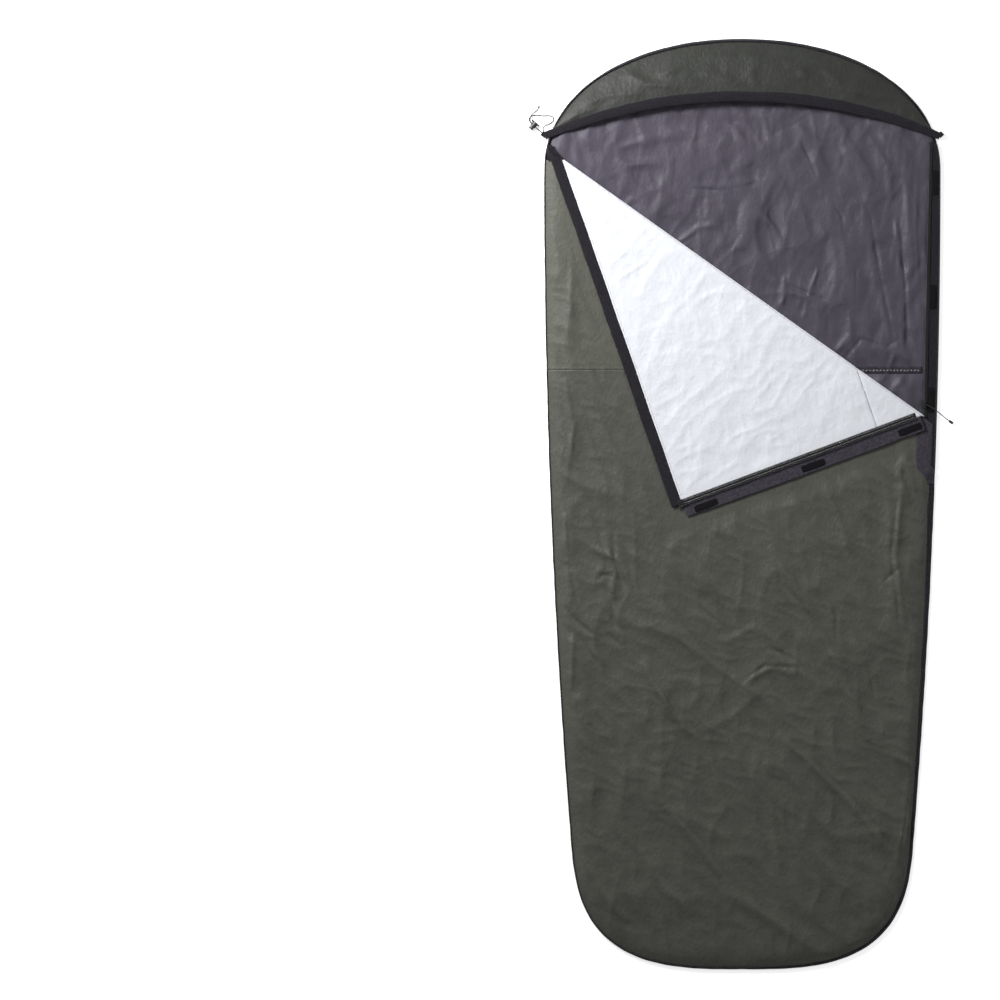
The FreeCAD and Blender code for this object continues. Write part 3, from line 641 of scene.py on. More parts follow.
# Pinched valleys of the lining
LINING_VALLEYS = [
    ([(-0.27, 0.66), (-0.19, 0.735), (-0.12, 0.79), (-0.05, 0.84), (0.01, 0.85)], 0.0026),
    ([(0.06, 0.84), (0.045, 0.75), (0.01, 0.66), (-0.03, 0.60)], 0.0030),
    ([(0.14, 0.86), (0.185, 0.76), (0.235, 0.68), (0.245, 0.60)], 0.0028),
    ([(0.265, 0.69), (0.268, 0.55), (0.266, 0.38)], 0.0022),
    ([(0.30, 0.70), (0.325, 0.55), (0.358, 0.39)], 0.0024),
    ([(0.372, 0.68), (0.385, 0.52), (0.390, 0.38)], 0.0024),
    ([(0.10, 0.52), (0.16, 0.495), (0.22, 0.472)], 0.0020),
    ([(-0.13, 0.748), (-0.05, 0.742), (0.03, 0.757)], 0.0020),
    ([(-0.23, 0.69), (-0.24, 0.63), (-0.21, 0.58)], 0.0020),
    ([(0.24, 0.34), (0.28, 0.39), (0.34, 0.37), (0.37, 0.39)], 0.0022),
]


def creased(x, y, creases):
    """Sum of a list of creases."""
    return sum(crease(x, y, path, width, height) for path, width, height in creases)


def pinched(x, y, valleys):
    """Sum of a list of narrow valleys, each with a soft bank on either side."""
    relief = 0.0
    for path, depth in valleys:
        relief = relief + crease(x, y, path, 0.020, depth) - crease(x, y, path, 0.0055, depth * 1.7)
    return relief


def fold_distance(x, y):
    """Distance from the fold line, positive on the mouth's side."""
    return (x - HINGE.x) * MOUTH_WAY.x + (y - HINGE.y) * MOUTH_WAY.y


def under_flap(x, y):
    """1 where the folded corner lies over the top sheet, 0 clear of it, with a soft border."""
    back = 2 * fold_distance(x, y)
    closed_x, closed_y = x - back * MOUTH_WAY.x, y - back * MOUTH_WAY.y
    corner_x, corner_y = 0.485, 0.856
    inside = np.minimum(corner_y - closed_y, corner_x - closed_x)
    return smooth(1 + inside / 0.04)


def top_relief(x, y):
    """Height of the top sheet's wrinkles, in metres."""
    relief = 1.7 * creased(x, y, TOP_CREASES) + 1.3 * pinched(x, y, TOP_VALLEYS)
    relief = relief + folded(x, y, ((0.0050, -56, 0.11, 2.6, 11), (0.0032, -72, 0.06, 3.0, 23),
                                    (0.0018, -35, 0.035, 2.2, 29)))
    relief = relief + 0.0020 * noise(x, y, 0.16, 5) + 0.0007 * noise(x, y, 0.045, 9)
    covered, room = under_flap(x, y), 0.0022
    return relief * (1 - covered) + room * np.tanh(0.6 * relief / room) * covered


def flap_relief(x, y):
    """Softer wrinkles of the corner that folds back."""
    relief = 0.0009 * noise(x, y, 0.12, 19)
    relief = relief + folded(x, y, ((0.0024, 40, 0.10, 2.4, 17), (0.0020, 75, 0.05, 2.0, 31),
                                    (0.0012, 10, 0.03, 2.4, 37)))
    deepest = 0.0042
    return 0.0024 - deepest * np.tanh(relief / deepest)


def top_height(x, y, wrinkles=top_relief):
    """Outer face of the top sheet when the corner is closed."""
    inside = edge_distance(x, y) + np.where(x > 0, 0.06 * smooth((y - 0.055) / 0.05), 0)
    rise = 1 - (1 - np.clip(inside / EDGE_ROLL, 0, 1)) ** 2
    relief = wrinkles(x, y) * smooth(inside / 0.03)
    beside_tape = np.where(y > ZIP_FOOT.y, 0.014, 0.0)
    relief = relief * smooth((right_edge(y) - x - beside_tape) / 0.03)
    relief = relief * smooth((TOP_CLOTH_END - y) / 0.03)
    relief = relief * smooth(np.abs(fold_distance(x, y)) / 0.03)
    seam = 0.0009 * np.exp(-((y - SEAM_Y) / 0.004) ** 2)
    return EDGE_Z + (TOP_Z - EDGE_Z) * rise + relief + seam * rise


def sack_rows(ys, foot_rows, hood_rows, columns, right):
    """Grid of x and y over the sack, from the foot up; right gives its right edge beside ys."""
    s = np.linspace(-1, 1, columns)
    x_rows, y_rows = [], []
    for t in np.linspace(1, 0, foot_rows, endpoint=False):
        down = FOOT_DEPTH * t * (1 - np.abs(s) ** FOOT_POWER / 2) ** (1 / FOOT_POWER)
        wide = FOOT_HALF - FOOT_NARROWING * down
        x_rows.append(s * wide * (1 - t ** FOOT_POWER / 2) ** (1 / FOOT_POWER))
        y_rows.append(FOOT_Y - down)
    for y in ys:
        left = -half_width(y)
        x_rows.append(left + (right(y) - left) * (s + 1) / 2)
        y_rows.append(np.full(columns, y))
    for t in np.linspace(0, 1, hood_rows + 1)[1:]:
        up = HOOD_DEPTH * t * (1 - np.abs(s) ** HOOD_POWER / 2) ** (1 / HOOD_POWER)
        x_rows.append(s * SHOULDER_HALF * (1 - t ** HOOD_POWER / 2) ** (1 / HOOD_POWER))
        y_rows.append(SHOULDER_Y + up)
    return np.array(x_rows), np.array(y_rows)


def top_sheets():
    """The top's two cloths and the corner that folds back."""
    columns = 230
    step = 0.0042
    lower_ys = np.linspace(FOOT_Y, SEAM_Y, int((SEAM_Y - FOOT_Y) / step))
    upper_ys = np.linspace(SEAM_Y, TOP_CLOTH_END + 0.002, int((MOUTH_Y - SEAM_Y) / step))
    regions = (("lower", lower_ys, 40, OLIVE_LOWER, "shell_cloth_lower"),
               ("upper", upper_ys, 0, OLIVE_UPPER, "shell_cloth_upper"))
    for name, ys, foot_rows, cloth, slot in regions:
        x, y = sack_rows(ys, foot_rows, 0, columns, right_edge)
        for part, way, body in (("top", -MOUTH_WAY, "root"), ("flap", MOUTH_WAY, "flap")):
            flap = part == "flap"
            z = top_height(x, y, flap_relief if flap else top_relief)
            obj = grid_object(f"{part}_{name}_cloth", x, y, z, [cloth, WHITE])
            cut(obj, HINGE + way * 0.0003, way)
            thicken(obj, two_sided=True)
            if flap:
                fold_back(obj)
            nodes = {"top_lower": ["top_lower_panel"], "top_upper": ["top_upper_panel", "top_seam_tape"],
                     "flap_lower": ["flap_lower_panel"], "flap_upper": ["flap_panel"]}[f"{part}_{name}"]
            belongs(obj, body, slot, *nodes)


def fold_rolls():
    """The soft roll of cloth along the fold line, and the hem's: a lower lip and an upper one each."""
    hem_start = (HINGE.y - MOUTH_Y + TOP_HEM_WIDTH) / FOLD_WAY.y
    hem_end = (HINGE.y - MOUTH_Y) / FOLD_WAY.y
    for half, body in enumerate(("root", "flap")):
        lip = fold_lip(f"fold_lip_{body}", 0.0, hem_start, 160, half, 0.0, [WHITE, OLIVE_UPPER])
        belongs(lip, body, "shell_cloth_upper")
        lip = fold_lip(f"hem_fold_lip_{body}", hem_start, hem_end, 12, half, 0.0012, [TRIM, TRIM])
        belongs(lip, body, "trim_cloth")


def fold_lip(name, start, end, steps, half, extra, cloths):
    """Lower or upper quarter of the roll, between two distances back from the hinge along the fold."""
    arc = 7
    points = []
    for i in range(steps + 1):
        foot = HINGE - FOLD_WAY * (end + (start - end) * i / steps)
        reach = HINGE.z - float(top_height(np.array([foot.x]), np.array([foot.y]))[0]) + extra
        for j in range(arc):
            turn = math.pi / 2 * (half + j / (arc - 1))
            points.append(Vector((foot.x, foot.y, HINGE.z - reach * math.cos(turn)))
                          + MOUTH_WAY * (reach * math.sin(turn) * 1.15))
    obj = mesh_object(name, points, grid_faces(steps + 1, arc), cloths)
    return thicken(obj, two_sided=True, edges=1)


def lining_height(x, y):
    """Upper face of the ground sheet, lining side up."""
    relief = 2.0 * creased(x, y, LINING_CREASES) + 1.3 * pinched(x, y, LINING_VALLEYS)
    relief = relief + folded(x, y, ((0.0045, -66, 0.10, 2.2, 41), (0.0036, -20, 0.08, 2.0, 47),
                                    (0.0022, 80, 0.05, 3.4, 53)))
    relief = relief + 0.0020 * (1 + noise(x, y, 0.09, 3)) + 0.0002 * (1 + noise(x, y, 0.03, 13))
    shown = smooth((fold_distance(x, y) + 0.05) / 0.06)
    by_zip = smooth((x - 0.395) / 0.035) * smooth((y - 0.10) / 0.05) * smooth((0.87 - y) / 0.04)
    relief = relief * smooth(edge_distance(x, y) / 0.03) * (0.25 + 0.75 * shown) * (1 - 0.8 * by_zip)
    relief = relief * (1 - 0.7 * np.exp(-((y - SEAM_Y) / 0.025) ** 2))
    knee, spare = 0.007, 0.0030
    relief = np.where(relief < knee, np.maximum(relief, 0), knee + spare * np.tanh((relief - knee) / spare))
    return GROUND_Z + CLOTH + relief + 0.005 * by_zip * (1 - relief / (knee + spare))


def ground_sheets():
    """The ground sheet's two cloths, lining side up."""
    columns = 280
    upper_ys = np.linspace(SEAM_Y, SHOULDER_Y, 140)
    lower_ys = np.concatenate([np.linspace(FOOT_Y, 0.1, 24), np.linspace(0.11, SEAM_Y, 50)])
    for name, ys, foot_rows, hood_rows in (("lower", lower_ys, 12, 0), ("upper", upper_ys, 0, 92)):
        x, y = sack_rows(ys, foot_rows, hood_rows, columns, lambda row_y: half_width(row_y))
        x, y = x * 0.994, y * 0.996
        obj = grid_object(f"ground_{name}_cloth", x, y, lining_height(x, y), [LINING, OLIVE_LOWER])
        thicken(obj, two_sided=True)
        belongs(obj, "root", "ground_cloth", f"base_{name}_panel")


# ---------------------------------------------------------------- hood

# The hood hem's line is an arc in a leaning plane, from one tab over the apex to the other
HEM_RISE = HEM_APEX - Vector((0, HEM_END.y, HEM_END.z))
HEM_RADIUS = (HEM_END.x ** 2 + HEM_RISE.length ** 2) / (2 * HEM_RISE.length)
HEM_OUTWARDS = HEM_RISE.normalized()
HEM_SQUARE = Vector((0, -HEM_OUTWARDS.z, HEM_OUTWARDS.y))
HEM_CENTRE = HEM_APEX - HEM_OUTWARDS * HEM_RADIUS
HEM_HALF_ANGLE = math.asin(HEM_END.x / HEM_RADIUS)


def hem_point(turn, offset, rise=0.0):
    """Point by the hood hem's line: at an angle from its middle, a level distance out and a height."""
    across = HEM_OUTWARDS * math.cos(turn) + Vector((math.sin(turn), 0, 0))
    level = across * HEM_OUTWARDS.y + HEM_SQUARE * HEM_SQUARE.y
    return HEM_CENTRE + across * HEM_RADIUS + level * offset + Vector((0, 0, rise))


def hood_edge_y(x):
    """The hood's edge seam at x."""
    part = (abs(x) / (SHOULDER_HALF - HOOD_INSET)) ** HOOD_POWER
    return SHOULDER_Y + (HOOD_DEPTH - HOOD_INSET) * (1 - part) ** (1 / HOOD_POWER)


HOOD_CREASES = [
    ([(-0.10, 1.02), (-0.04, 1.0), (0.0, 0.98)], 0.010, 0.004),
    ([(-0.28, 1.02), (-0.22, 0.99), (-0.17, 0.985)], 0.009, 0.005),
    ([(-0.20, 1.01), (-0.15, 1.03)], 0.008, 0.004),
    ([(0.03, 1.05), (0.02, 1.01), (0.035, 0.98)], 0.010, 0.004),
    ([(0.10, 1.04), (0.14, 1.025), (0.15, 1.0)], 0.008, 0.005),
    ([(0.13, 1.05), (0.19, 1.03), (0.24, 0.99)], 0.010, 0.004),
    ([(0.20, 0.99), (0.30, 0.965), (0.36, 0.955)], 0.009, 0.004),
    ([(-0.38, 0.94), (-0.32, 0.965), (-0.25, 0.97)], 0.010, 0.003),
    ([(0.0, 1.07), (0.05, 1.04), (0.12, 1.03)], 0.014, 0.003),
]


def hood():
    """Domed hood cloth from its hem to the edge seam, wrinkled where the drawcord gathers it."""
    columns, rows = 150, 40
    points = []
    for j in range(rows):
        out = j / (rows - 1)
        for i in range(columns):
            x = HOOD_HALF * math.sin(math.pi / 2 * (2 * i / (columns - 1) - 1))
            start = hem_point(math.asin(x / (HEM_RADIUS + HEM_WIDTH / 2)), HEM_WIDTH / 2 - 0.004)
            edge_y = max(hood_edge_y(x), start.y + 0.001)
            y = start.y + (edge_y - start.y) * out
            dome = math.cos(math.pi / 2 * out) ** 0.8
            points.append((x, y, EDGE_Z + (start.z + 0.0012 - EDGE_Z) * dome))
    grid = np.array(points).reshape(rows, columns, 3)
    x, y = grid[..., 0], grid[..., 1]
    out = np.linspace(0, 1, rows)[:, None]
    inner = smooth(out / 0.2) * smooth((1 - out) / 0.25) * smooth((0.44 - np.abs(x)) / 0.05)
    gathers = np.abs(noise(x, y * 0.25, 0.035, 61)) * (1 - out) ** 1.5
    relief = creased(x, y, HOOD_CREASES) + 0.004 * gathers
    relief = relief + 0.003 * noise(x, y, 0.11, 63) + 0.0012 * noise(x, y, 0.04, 67)
    grid[..., 2] += relief * inner
    # The hood's outer face takes the darker olive, which is painted shade.
    obj = mesh_object("hood_cloth", grid.reshape(-1, 3), grid_faces(rows, columns), [OLIVE_HOOD_PAINTED_SHADE, LINING])
    thicken(obj, two_sided=True)
    belongs(obj, "root", "shell_cloth_upper", "hood_panel_front", "hood_panel_back", "hood_panel_left",
            "hood_panel_right")


def band_profile(width, thick, corners=14):
    """Rounded flat cross-section of (offset, height) points."""
    profile = []
    for i in range(corners):
        turn = 2 * math.pi * i / corners
        profile.append((width / 2 * squared(math.cos(turn), 0.45), thick / 2 * squared(math.sin(turn), 0.8)))
    return profile


def hood_hem():
    """Dark hem at the hood's mouth, a channel puckered by the drawcord inside it."""
    steps = 260
    rings = []
    for i in range(steps + 1):
        turn = HEM_HALF_ANGLE * (2 * i / steps - 1) * 1.012
        way = abs(2 * i / steps - 1)
        pucker = noise_at(turn * 1.2, 0.018, 71)
        slow = noise_at(turn * 1.2, 0.11, 73)
        width = HEM_WIDTH * (1 - 0.35 * way ** 4) * (1 + 0.05 * slow)
        thick = 0.0052 * (1 + 0.25 * pucker)
        ring = []
        for offset, height in band_profile(width, thick):
            drop = -0.006 * max(0.0, -offset / width * 2) ** 2 * (1 - way ** 2)
            ripple = 0.0008 * pucker * (offset / width * 2)
            ring.append(hem_point(turn, offset + 0.0015 * slow, height + drop + ripple))
        rings.append(ring)
    obj = closed_tube("hood_hem_channel", rings, TRIM)
    belongs(obj, "root", "trim_cloth", "hood_hem_left", "hood_hem_middle", "hood_hem_right", "hood_drawcord")


# ---------------------------------------------------------------- edges

def outline_walk(count):
    """Points round the sack's edge with their outward directions, from the hood's top clockwise."""
    hood_part = [math.pi / 2 * (1 - i / 40) for i in range(40)]
    right = [(SHOULDER_HALF * math.cos(a) ** (2 / HOOD_POWER) if a < 1.57 else 0.0,
              SHOULDER_Y + HOOD_DEPTH * math.sin(a) ** (2 / HOOD_POWER)) for a in hood_part]
    right += [(float(half_width(y)), float(y)) for y in np.linspace(SHOULDER_Y, FOOT_Y, 90)]
    for i in range(1, 60):
        a = math.pi / 2 * i / 60
        down = FOOT_DEPTH * math.sin(a) ** (2 / FOOT_POWER)
        right.append(((FOOT_HALF - FOOT_NARROWING * down) * math.cos(a) ** (2 / FOOT_POWER), FOOT_Y - down))
    right.append((0.0, -HALF_LENGTH))
    whole = right + [(-x, y) for x, y in reversed(right[1:-1])]
    places = np.array(whole + [whole[0]])
    gaps = np.hypot(*np.diff(places, axis=0).T)
    far = np.concatenate([[0], np.cumsum(gaps)])
    at = np.linspace(0, far[-1], count, endpoint=False)
    x, y = np.interp(at, far, places[:, 0]), np.interp(at, far, places[:, 1])
    dx, dy = np.roll(x, -2) - np.roll(x, 2), np.roll(y, -2) - np.roll(y, 2)
    size = np.hypot(dx, dy)
    return x, y, -dy / size, dx / size


def binding_width(x, y):
    """How much of the dark edge binding shows: broad down the right side, thin on the left, where its dark
    line is partly the binding and partly painted shade of the edge's roll.
    """
    right = 0.0165 - 0.0055 * smooth((0.05 - y) / 0.35) - 0.003 * smooth((-y - 0.3) / 0.5)
    foot = 0.0035 + 0.0045 * smooth((x + 0.15) / 0.4)
    hood = 0.003 + 0.005 * smooth((y - 1.0) / 0.06)
    near_foot = smooth((-y - 0.93) / 0.08)
    # On the left a 2.8 mm dark line shows: partly the binding, partly painted shade where the olive cloth
    # rolls over the edge.
    side = np.where(x > 0, right, 0.0028) * (1 - near_foot) + foot * near_foot
    return np.where(y > 0.86, hood, side)


def edge_bindings():
    """Dark binding folded over the edge seam, all round the sack."""
    x, y, out_x, out_y = outline_walk(900)
    width = binding_width(x, y) * (1 + 0.12 * noise(x, y, 0.05, 81))
    wobble = 0.0006 * noise(x, y, 0.035, 83)
    hood_from, right_to, overlap = 0.85, 0.1, 0.008
    sides = y > FOOT_Y - overlap
    runs = (("hood", y > hood_from, "hood_binding"),
            ("left", (x < 0) & (y <= hood_from + overlap) & sides, "left_binding"),
            ("right", (x > 0) & (y <= right_to) & sides, "right_binding"),
            ("foot", y <= FOOT_Y, "foot_binding"))
    for name, chosen, node in runs:
        picked = np.flatnonzero(chosen)
        split = np.flatnonzero(np.diff(picked) > 1)
        if len(split):
            picked = np.concatenate([picked[split[0] + 1:], picked[:split[0] + 1]])
        rings = []
        for k in picked:
            w = width[k]
            inner_z = EDGE_Z + (TOP_Z - EDGE_Z) * (1 - (1 - w / EDGE_ROLL) ** 2) + 0.0006
            if name == "hood":
                inner_z = EDGE_Z + 0.0045
            section = ((w, inner_z), (w * 0.5, (inner_z + EDGE_Z) / 2 + 0.0016), (0.0005, EDGE_Z + 0.0006),
                       (-0.0008, EDGE_Z * 0.6), (-0.0003, 0.0008), (0.002, 0.0003), (0.008, 0.0003),
                       (0.008, 0.0011), (0.003, 0.0016), (w * 0.5 + 0.001, (inner_z + EDGE_Z) / 2 + 0.0002))
            rings.append([(x[k] - out_x[k] * (d + wobble[k]), y[k] - out_y[k] * (d + wobble[k]), z)
                          for d, z in section])
        obj = closed_tube(f"{name}_edge_binding", rings, TRIM)
        belongs(obj, "root", "trim_cloth", node)


def strip(name, along, across, height, mat, columns=9, step=0.005, thickness=CLOTH, edge=None, inner=None):
    """A cloth strip beside the zip; height is z, or gives it from distances along and across.

    edge and inner, where given, set its outer and inner sides from the distance along.
    """
    rows = max(2, int((along[1] - along[0]) / step) + 1)
    a = np.linspace(along[0], along[1], rows)[:, None] * np.ones((1, columns))
    share = np.linspace(0, 1, columns)[None, :]
    outer = np.full(rows, across[1]) if edge is None else edge(a[:, 0])
    near = np.full(rows, across[0]) if inner is None else inner(a[:, 0])
    c = near[:, None] + (outer - near)[:, None] * share
    z = height(a, c, share) if callable(height) else height + 0 * a
    obj = grid_object(name, *beside_zip(a, c), z, mat)
    return thicken(obj, thickness, two_sided=isinstance(mat, list))


def edge_across(inset):
    """Distance from the zip to the sack's edge, as a function of the distance along it."""
    def across(along):
        y = ZIP_FOOT.y + ZIP_WAY.y * along
        return half_width(y) - (ZIP_FOOT.x + ZIP_WAY.x * along) - inset
    return across


def zip_side():
    """Ground sheet's side of the zip: facing strip turned down to the ground, and tape."""
    def facing_height(a, c, share):
        turned = smooth((share - 0.82) / 0.18)
        waves = 0.0007 * noise(a, c, 0.05, 91)
        return (0.0122 + waves) * (1 - turned) + 0.001 * turned
    facing = strip("zip_facing_cloth", (-0.004, 0.757), (0.0055, 0.03), facing_height, TRIM, columns=16,
                   thickness=0.001, edge=edge_across(-0.0012))
    belongs(facing, "root", "trim_cloth", "zip_facing", "zip_side_binding")
    tape = strip("zip_tape_on_base", (0.0, ZIP_TOP_ALONG), (0.0022, 0.009),
                 lambda a, c, share: 0.0132 + 0.0003 * noise(a, c, 0.04, 93), TAPE, columns=5,
                 thickness=0.0007)
    belongs(tape, "root", "zip_tape", "zip_tape_base")


# ---------------------------------------------------------------- zip

def coil(name, along, side, z, body, *nodes, folded=False):
    """One half of a coil zip: a flattened nylon helix beside the zip's line."""
    pitch, wide, tall, wire, sides, points_per_turn = 0.0016, 0.0026, 0.0019, 0.00042, 5, 9
    turns = int((along[1] - along[0]) / pitch)
    rings = []
    middle = side * (0.00035 + wide / 2)
    for k in range(turns * points_per_turn + 1):
        turn = 2 * math.pi * k / points_per_turn
        at = along[0] + pitch * k / points_per_turn
        across = middle + wide / 2 * math.cos(turn)
        centre = zip_point(at, across, z + tall / 2 * math.sin(turn))
        spin = Vector((ZIP_RIGHT.x * math.cos(turn), ZIP_RIGHT.y * math.cos(turn), math.sin(turn)))
        rings.append([centre + (spin * math.cos(b) + ZIP_WAY * math.sin(b)) * wire
                      for b in (2 * math.pi * i / sides for i in range(sides))])
    obj = closed_tube(name, rings, COIL)
    if folded:
        fold_back(obj)
    return belongs(obj, body, "zip_coil", *nodes)


def stitches(name, path, count, length, width, mat, body, slot, lean=0.0, folded=False):
    """A row of stitches: short rounded bars along a path given by a function of 0 to 1."""
    points, faces = [], []
    for k in range(count):
        share = (k + 0.5) / count
        here, ahead = path(share), path(min(1.0, share + 1e-3))
        way = (ahead - here).normalized()
        side = Vector((-way.y, way.x, 0))
        turned = (way + side * (lean if k % 2 else -lean)).normalized()
        across = Vector((-turned.y, turned.x, 0))
        base = len(points)
        for end in (-0.5, -0.25, 0.25, 0.5):
            narrow = 0.55 if abs(end) == 0.5 else 1.0
            for s, h in ((-1, 0), (0, 1), (1, 0), (0, -1)):
                points.append(here + turned * length * end + across * width / 2 * s * narrow
                              + Vector((0, 0, width / 2 * h * narrow)))
        faces += [tuple(base + i for i in face) for face in tube_faces(4, 4)]
    obj = mesh_object(name, points, faces, mat)
    if folded:
        fold_back(obj)
    return belongs(obj, body, slot)


def zips():
    """Coils, tapes and rows of stitches on both sides of the zip."""
    coil("zip_coil_on_base", (0.0, ZIP_TOP_ALONG), 1, 0.013, "root", "zip_teeth_base")
    coil("zip_coil_below_fold", (0.0, 0.127), -1, 0.013, "root", "zip_teeth_lower")
    coil("zip_coil_on_flap", (FLAP_ZIP_START, FLAP_ZIP_TOP), -1, 0.0127, "flap", "zip_teeth_flap",
         folded=True)
    tape = strip("zip_tape_on_flap", (FLAP_ZIP_START, FLAP_ZIP_TOP), (-0.0165, -0.0015), 0.0139,
                 [TAPE, TAPE], columns=6, thickness=0.0008)
    fold_back(tape)
    belongs(tape, "flap", "zip_tape", "zip_tape_flap", "flap_seam_tape")
    lower = strip("zip_tape_below_fold", (0.0, FOLD_ALONG - 0.012), (-0.014, -0.002), 0.0137, TAPE,
                  columns=4, thickness=0.0007)
    belongs(lower, "root", "zip_tape", "zip_tape_lower")
    for index, across in enumerate((-0.0062, -0.0125, -0.0152)):
        stitches(f"zip_tape_stitches_{index + 1}",
                 lambda t, c=across: zip_point(FOLD_ALONG + 0.02 + t * 0.58, c, 0.0129),
                 190 if index else 230, 0.0021, 0.00055, THREAD_LIGHT, "flap", "zip_tape",
                 lean=0.35 if index < 2 else 0.0, folded=True)


def patch(name, along, z, body, folded):
    """A touch-and-close patch: a thin pad with rounded corners."""
    count = 40
    middle = (PATCH_ACROSS[0] + PATCH_ACROSS[1]) / 2
    reach = (PATCH_ACROSS[1] - PATCH_ACROSS[0]) / 2
    rings = []
    levels = ((0.97, 0.0), (1.0, 0.0003), (1.0, 0.0008), (0.97, 0.0011), (0.6, 0.0012), (0.05, 0.0012))
    for scale, height in levels:
        ring = []
        for i in range(count):
            turn = 2 * math.pi * i / count
            a = PATCH_HALF * scale * squared(math.cos(turn), 0.25)
            b = reach * scale * squared(math.sin(turn), 0.25)
            ring.append(zip_point(along + a, middle + b, z + height * (-1 if folded else 1)))
        rings.append(ring)
    obj = closed_tube(name, rings, HOOKS)
    if folded:
        fold_back(obj)
    return belongs(obj, body, "touch_fastener")


def storm_flaps():
    """The strip that covers the zip, folded back with the corner, its lower end, and the patches."""
    def flap_height(a, c, share):
        return 0.0160 + 0.0006 * noise(a, c, 0.06, 101) + 0.0003 * noise(a, c, 0.02, 103)
    flap = strip("storm_flap_cloth", (FOLD_ALONG + 0.006, STORM_TOP_ALONG), (-0.006, 0.03), flap_height,
                 [TRIM, TRIM_PURPLE], columns=14, thickness=0.0007, edge=edge_across(0.001))
    fold_back(flap)
    cut(flap, HINGE - MOUTH_WAY * 0.0006, -MOUTH_WAY)
    belongs(flap, "flap", "trim_cloth", "storm_flap")

    def lower_inner(along):
        return -0.0145 + (edge_across(0.0165)(along) + 0.0145) * smooth(-along / 0.045)

    def lower_height(a, c, share):
        x, y = beside_zip(a, c)
        down = smooth((share - 0.7) / 0.3)
        level = (0.0165 + 0.0006 * noise(a, c, 0.05, 105)) * (1 - down) + 0.004 * down
        level = level * smooth((a + 0.035) / 0.035)
        beneath = np.where(x < right_edge(y), top_height(x, y) + 0.0012, 0.0045)
        return np.maximum(level, beneath)
    lower = strip("storm_flap_lower_cloth", (-0.048, FOLD_ALONG + 0.012), (-0.012, 0.03), lower_height,
                  TRIM_PURPLE, columns=18, thickness=0.0007, edge=edge_across(-0.0005), inner=lower_inner)
    cut(lower, HINGE - MOUTH_WAY * 0.0006, -MOUTH_WAY)
    belongs(lower, "root", "trim_cloth", "storm_flap_lower")
    for i, along in enumerate(PATCH_ALONG):
        hook = patch(f"hook_patch_{i + 1}", along, 0.0153, "flap", True)
        loop = patch(f"loop_patch_{i + 1}", along, 0.0124, "root", False)
        if i == 0:
            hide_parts("hook_patches")
            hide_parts("loop_patches")


def mouth_hem():
    """Dark folded hem along the top sheet's free edge, on the corner and its short end by the fold."""
    columns, rows = 300, 12
    left, right = -0.462, ZIP_FOOT.x + ZIP_WAY.x * 0.73 - 0.0062
    parts = (("end", -MOUTH_WAY, "root", "top_hem_end"), ("flap", MOUTH_WAY, "flap", "flap_mouth_hem"))
    for part, way, body, node in parts:
        rings = []
        for i in range(columns + 1):
            x = left + (right - left) * i / columns
            pucker = noise_at(x, 0.02, 111)
            slow = noise_at(x, 0.12, 113)
            middle_y = MOUTH_Y - TOP_HEM_WIDTH / 2 + 0.001 * slow
            wide, thick = TOP_HEM_WIDTH * (1 + 0.04 * pucker), 0.0026 * (1 + 0.25 * pucker)
            ring = []
            for offset, height in band_profile(wide, thick, rows):
                ripple = 0.0005 * math.sin(offset * 900) * pucker
                ring.append((x, middle_y + offset, TOP_Z - 0.0003 + height + ripple))
            rings.append(ring)
        obj = closed_tube(f"mouth_hem_{part}", rings, TRIM)
        cut(obj, HINGE + way * 0.0004, way, closed=True)
        if part == "flap":
            fold_back(obj)
        belongs(obj, body, "trim_cloth", node)


def seams():
    """Stitched tape over the ground sheet's seam, and thread along the flap's hems."""
    columns, rows = 220, 5
    xs = np.linspace(-0.44, 0.425, columns)
    x = np.tile(xs, (rows, 1))
    y = SEAM_Y + np.linspace(-0.008, 0.008, rows)[:, None] + 0 * x
    obj = grid_object("ground_seam_tape", x, y, lining_height(x, y) + 0.0014, SEAM_TAPE)
    thicken(obj, 0.0005)
    belongs(obj, "root", "seam_tape", "base_seam_tape")

    def on_tape(offset):
        def path(t):
            at = -0.43 + 0.85 * t
            height = lining_height(np.array([at]), np.array([SEAM_Y + offset]))
            return Vector((at, SEAM_Y + offset, float(height[0]) + 0.0017))
        return path
    stitches("ground_seam_zigzag", on_tape(0.0), 300, 0.004, 0.0007, THREAD_DARK, "root", "seam_tape",
             lean=1.2)
    stitches("ground_seam_light_thread", on_tape(-0.001), 105, 0.0046, 0.0015, THREAD_LIGHT, "root",
             "seam_tape", lean=0.9)
    hem_low = TOP_CLOTH_END - 0.004
    stitches("mouth_hem_stitches", lambda t: Vector((-0.395 + 0.81 * t, hem_low, TOP_Z - 0.0006)),
             230, 0.0026, 0.0005, THREAD_DARK, "flap", "trim_cloth", folded=True)


# ---------------------------------------------------------------- cords and fittings

CORD_WAY = Vector((-0.754, 0.657, 0)).normalized()
BUTTON_WAY = Vector((-0.657, -0.754, 0)).normalized()
TAB_FACE = Vector((-0.4735, 0.8775, 0))    # the end of the hood hem's tab, which the cord leaves
LOCK_OUT = 0.027                           # from there to the cord lock


def lock_point(along, across, z):
    """Point near the cord lock: along the cord's way from the lock, and across towards its button."""
    point = TAB_FACE + CORD_WAY * (LOCK_OUT + along) + BUTTON_WAY * across
    return Vector((point.x, point.y, z))


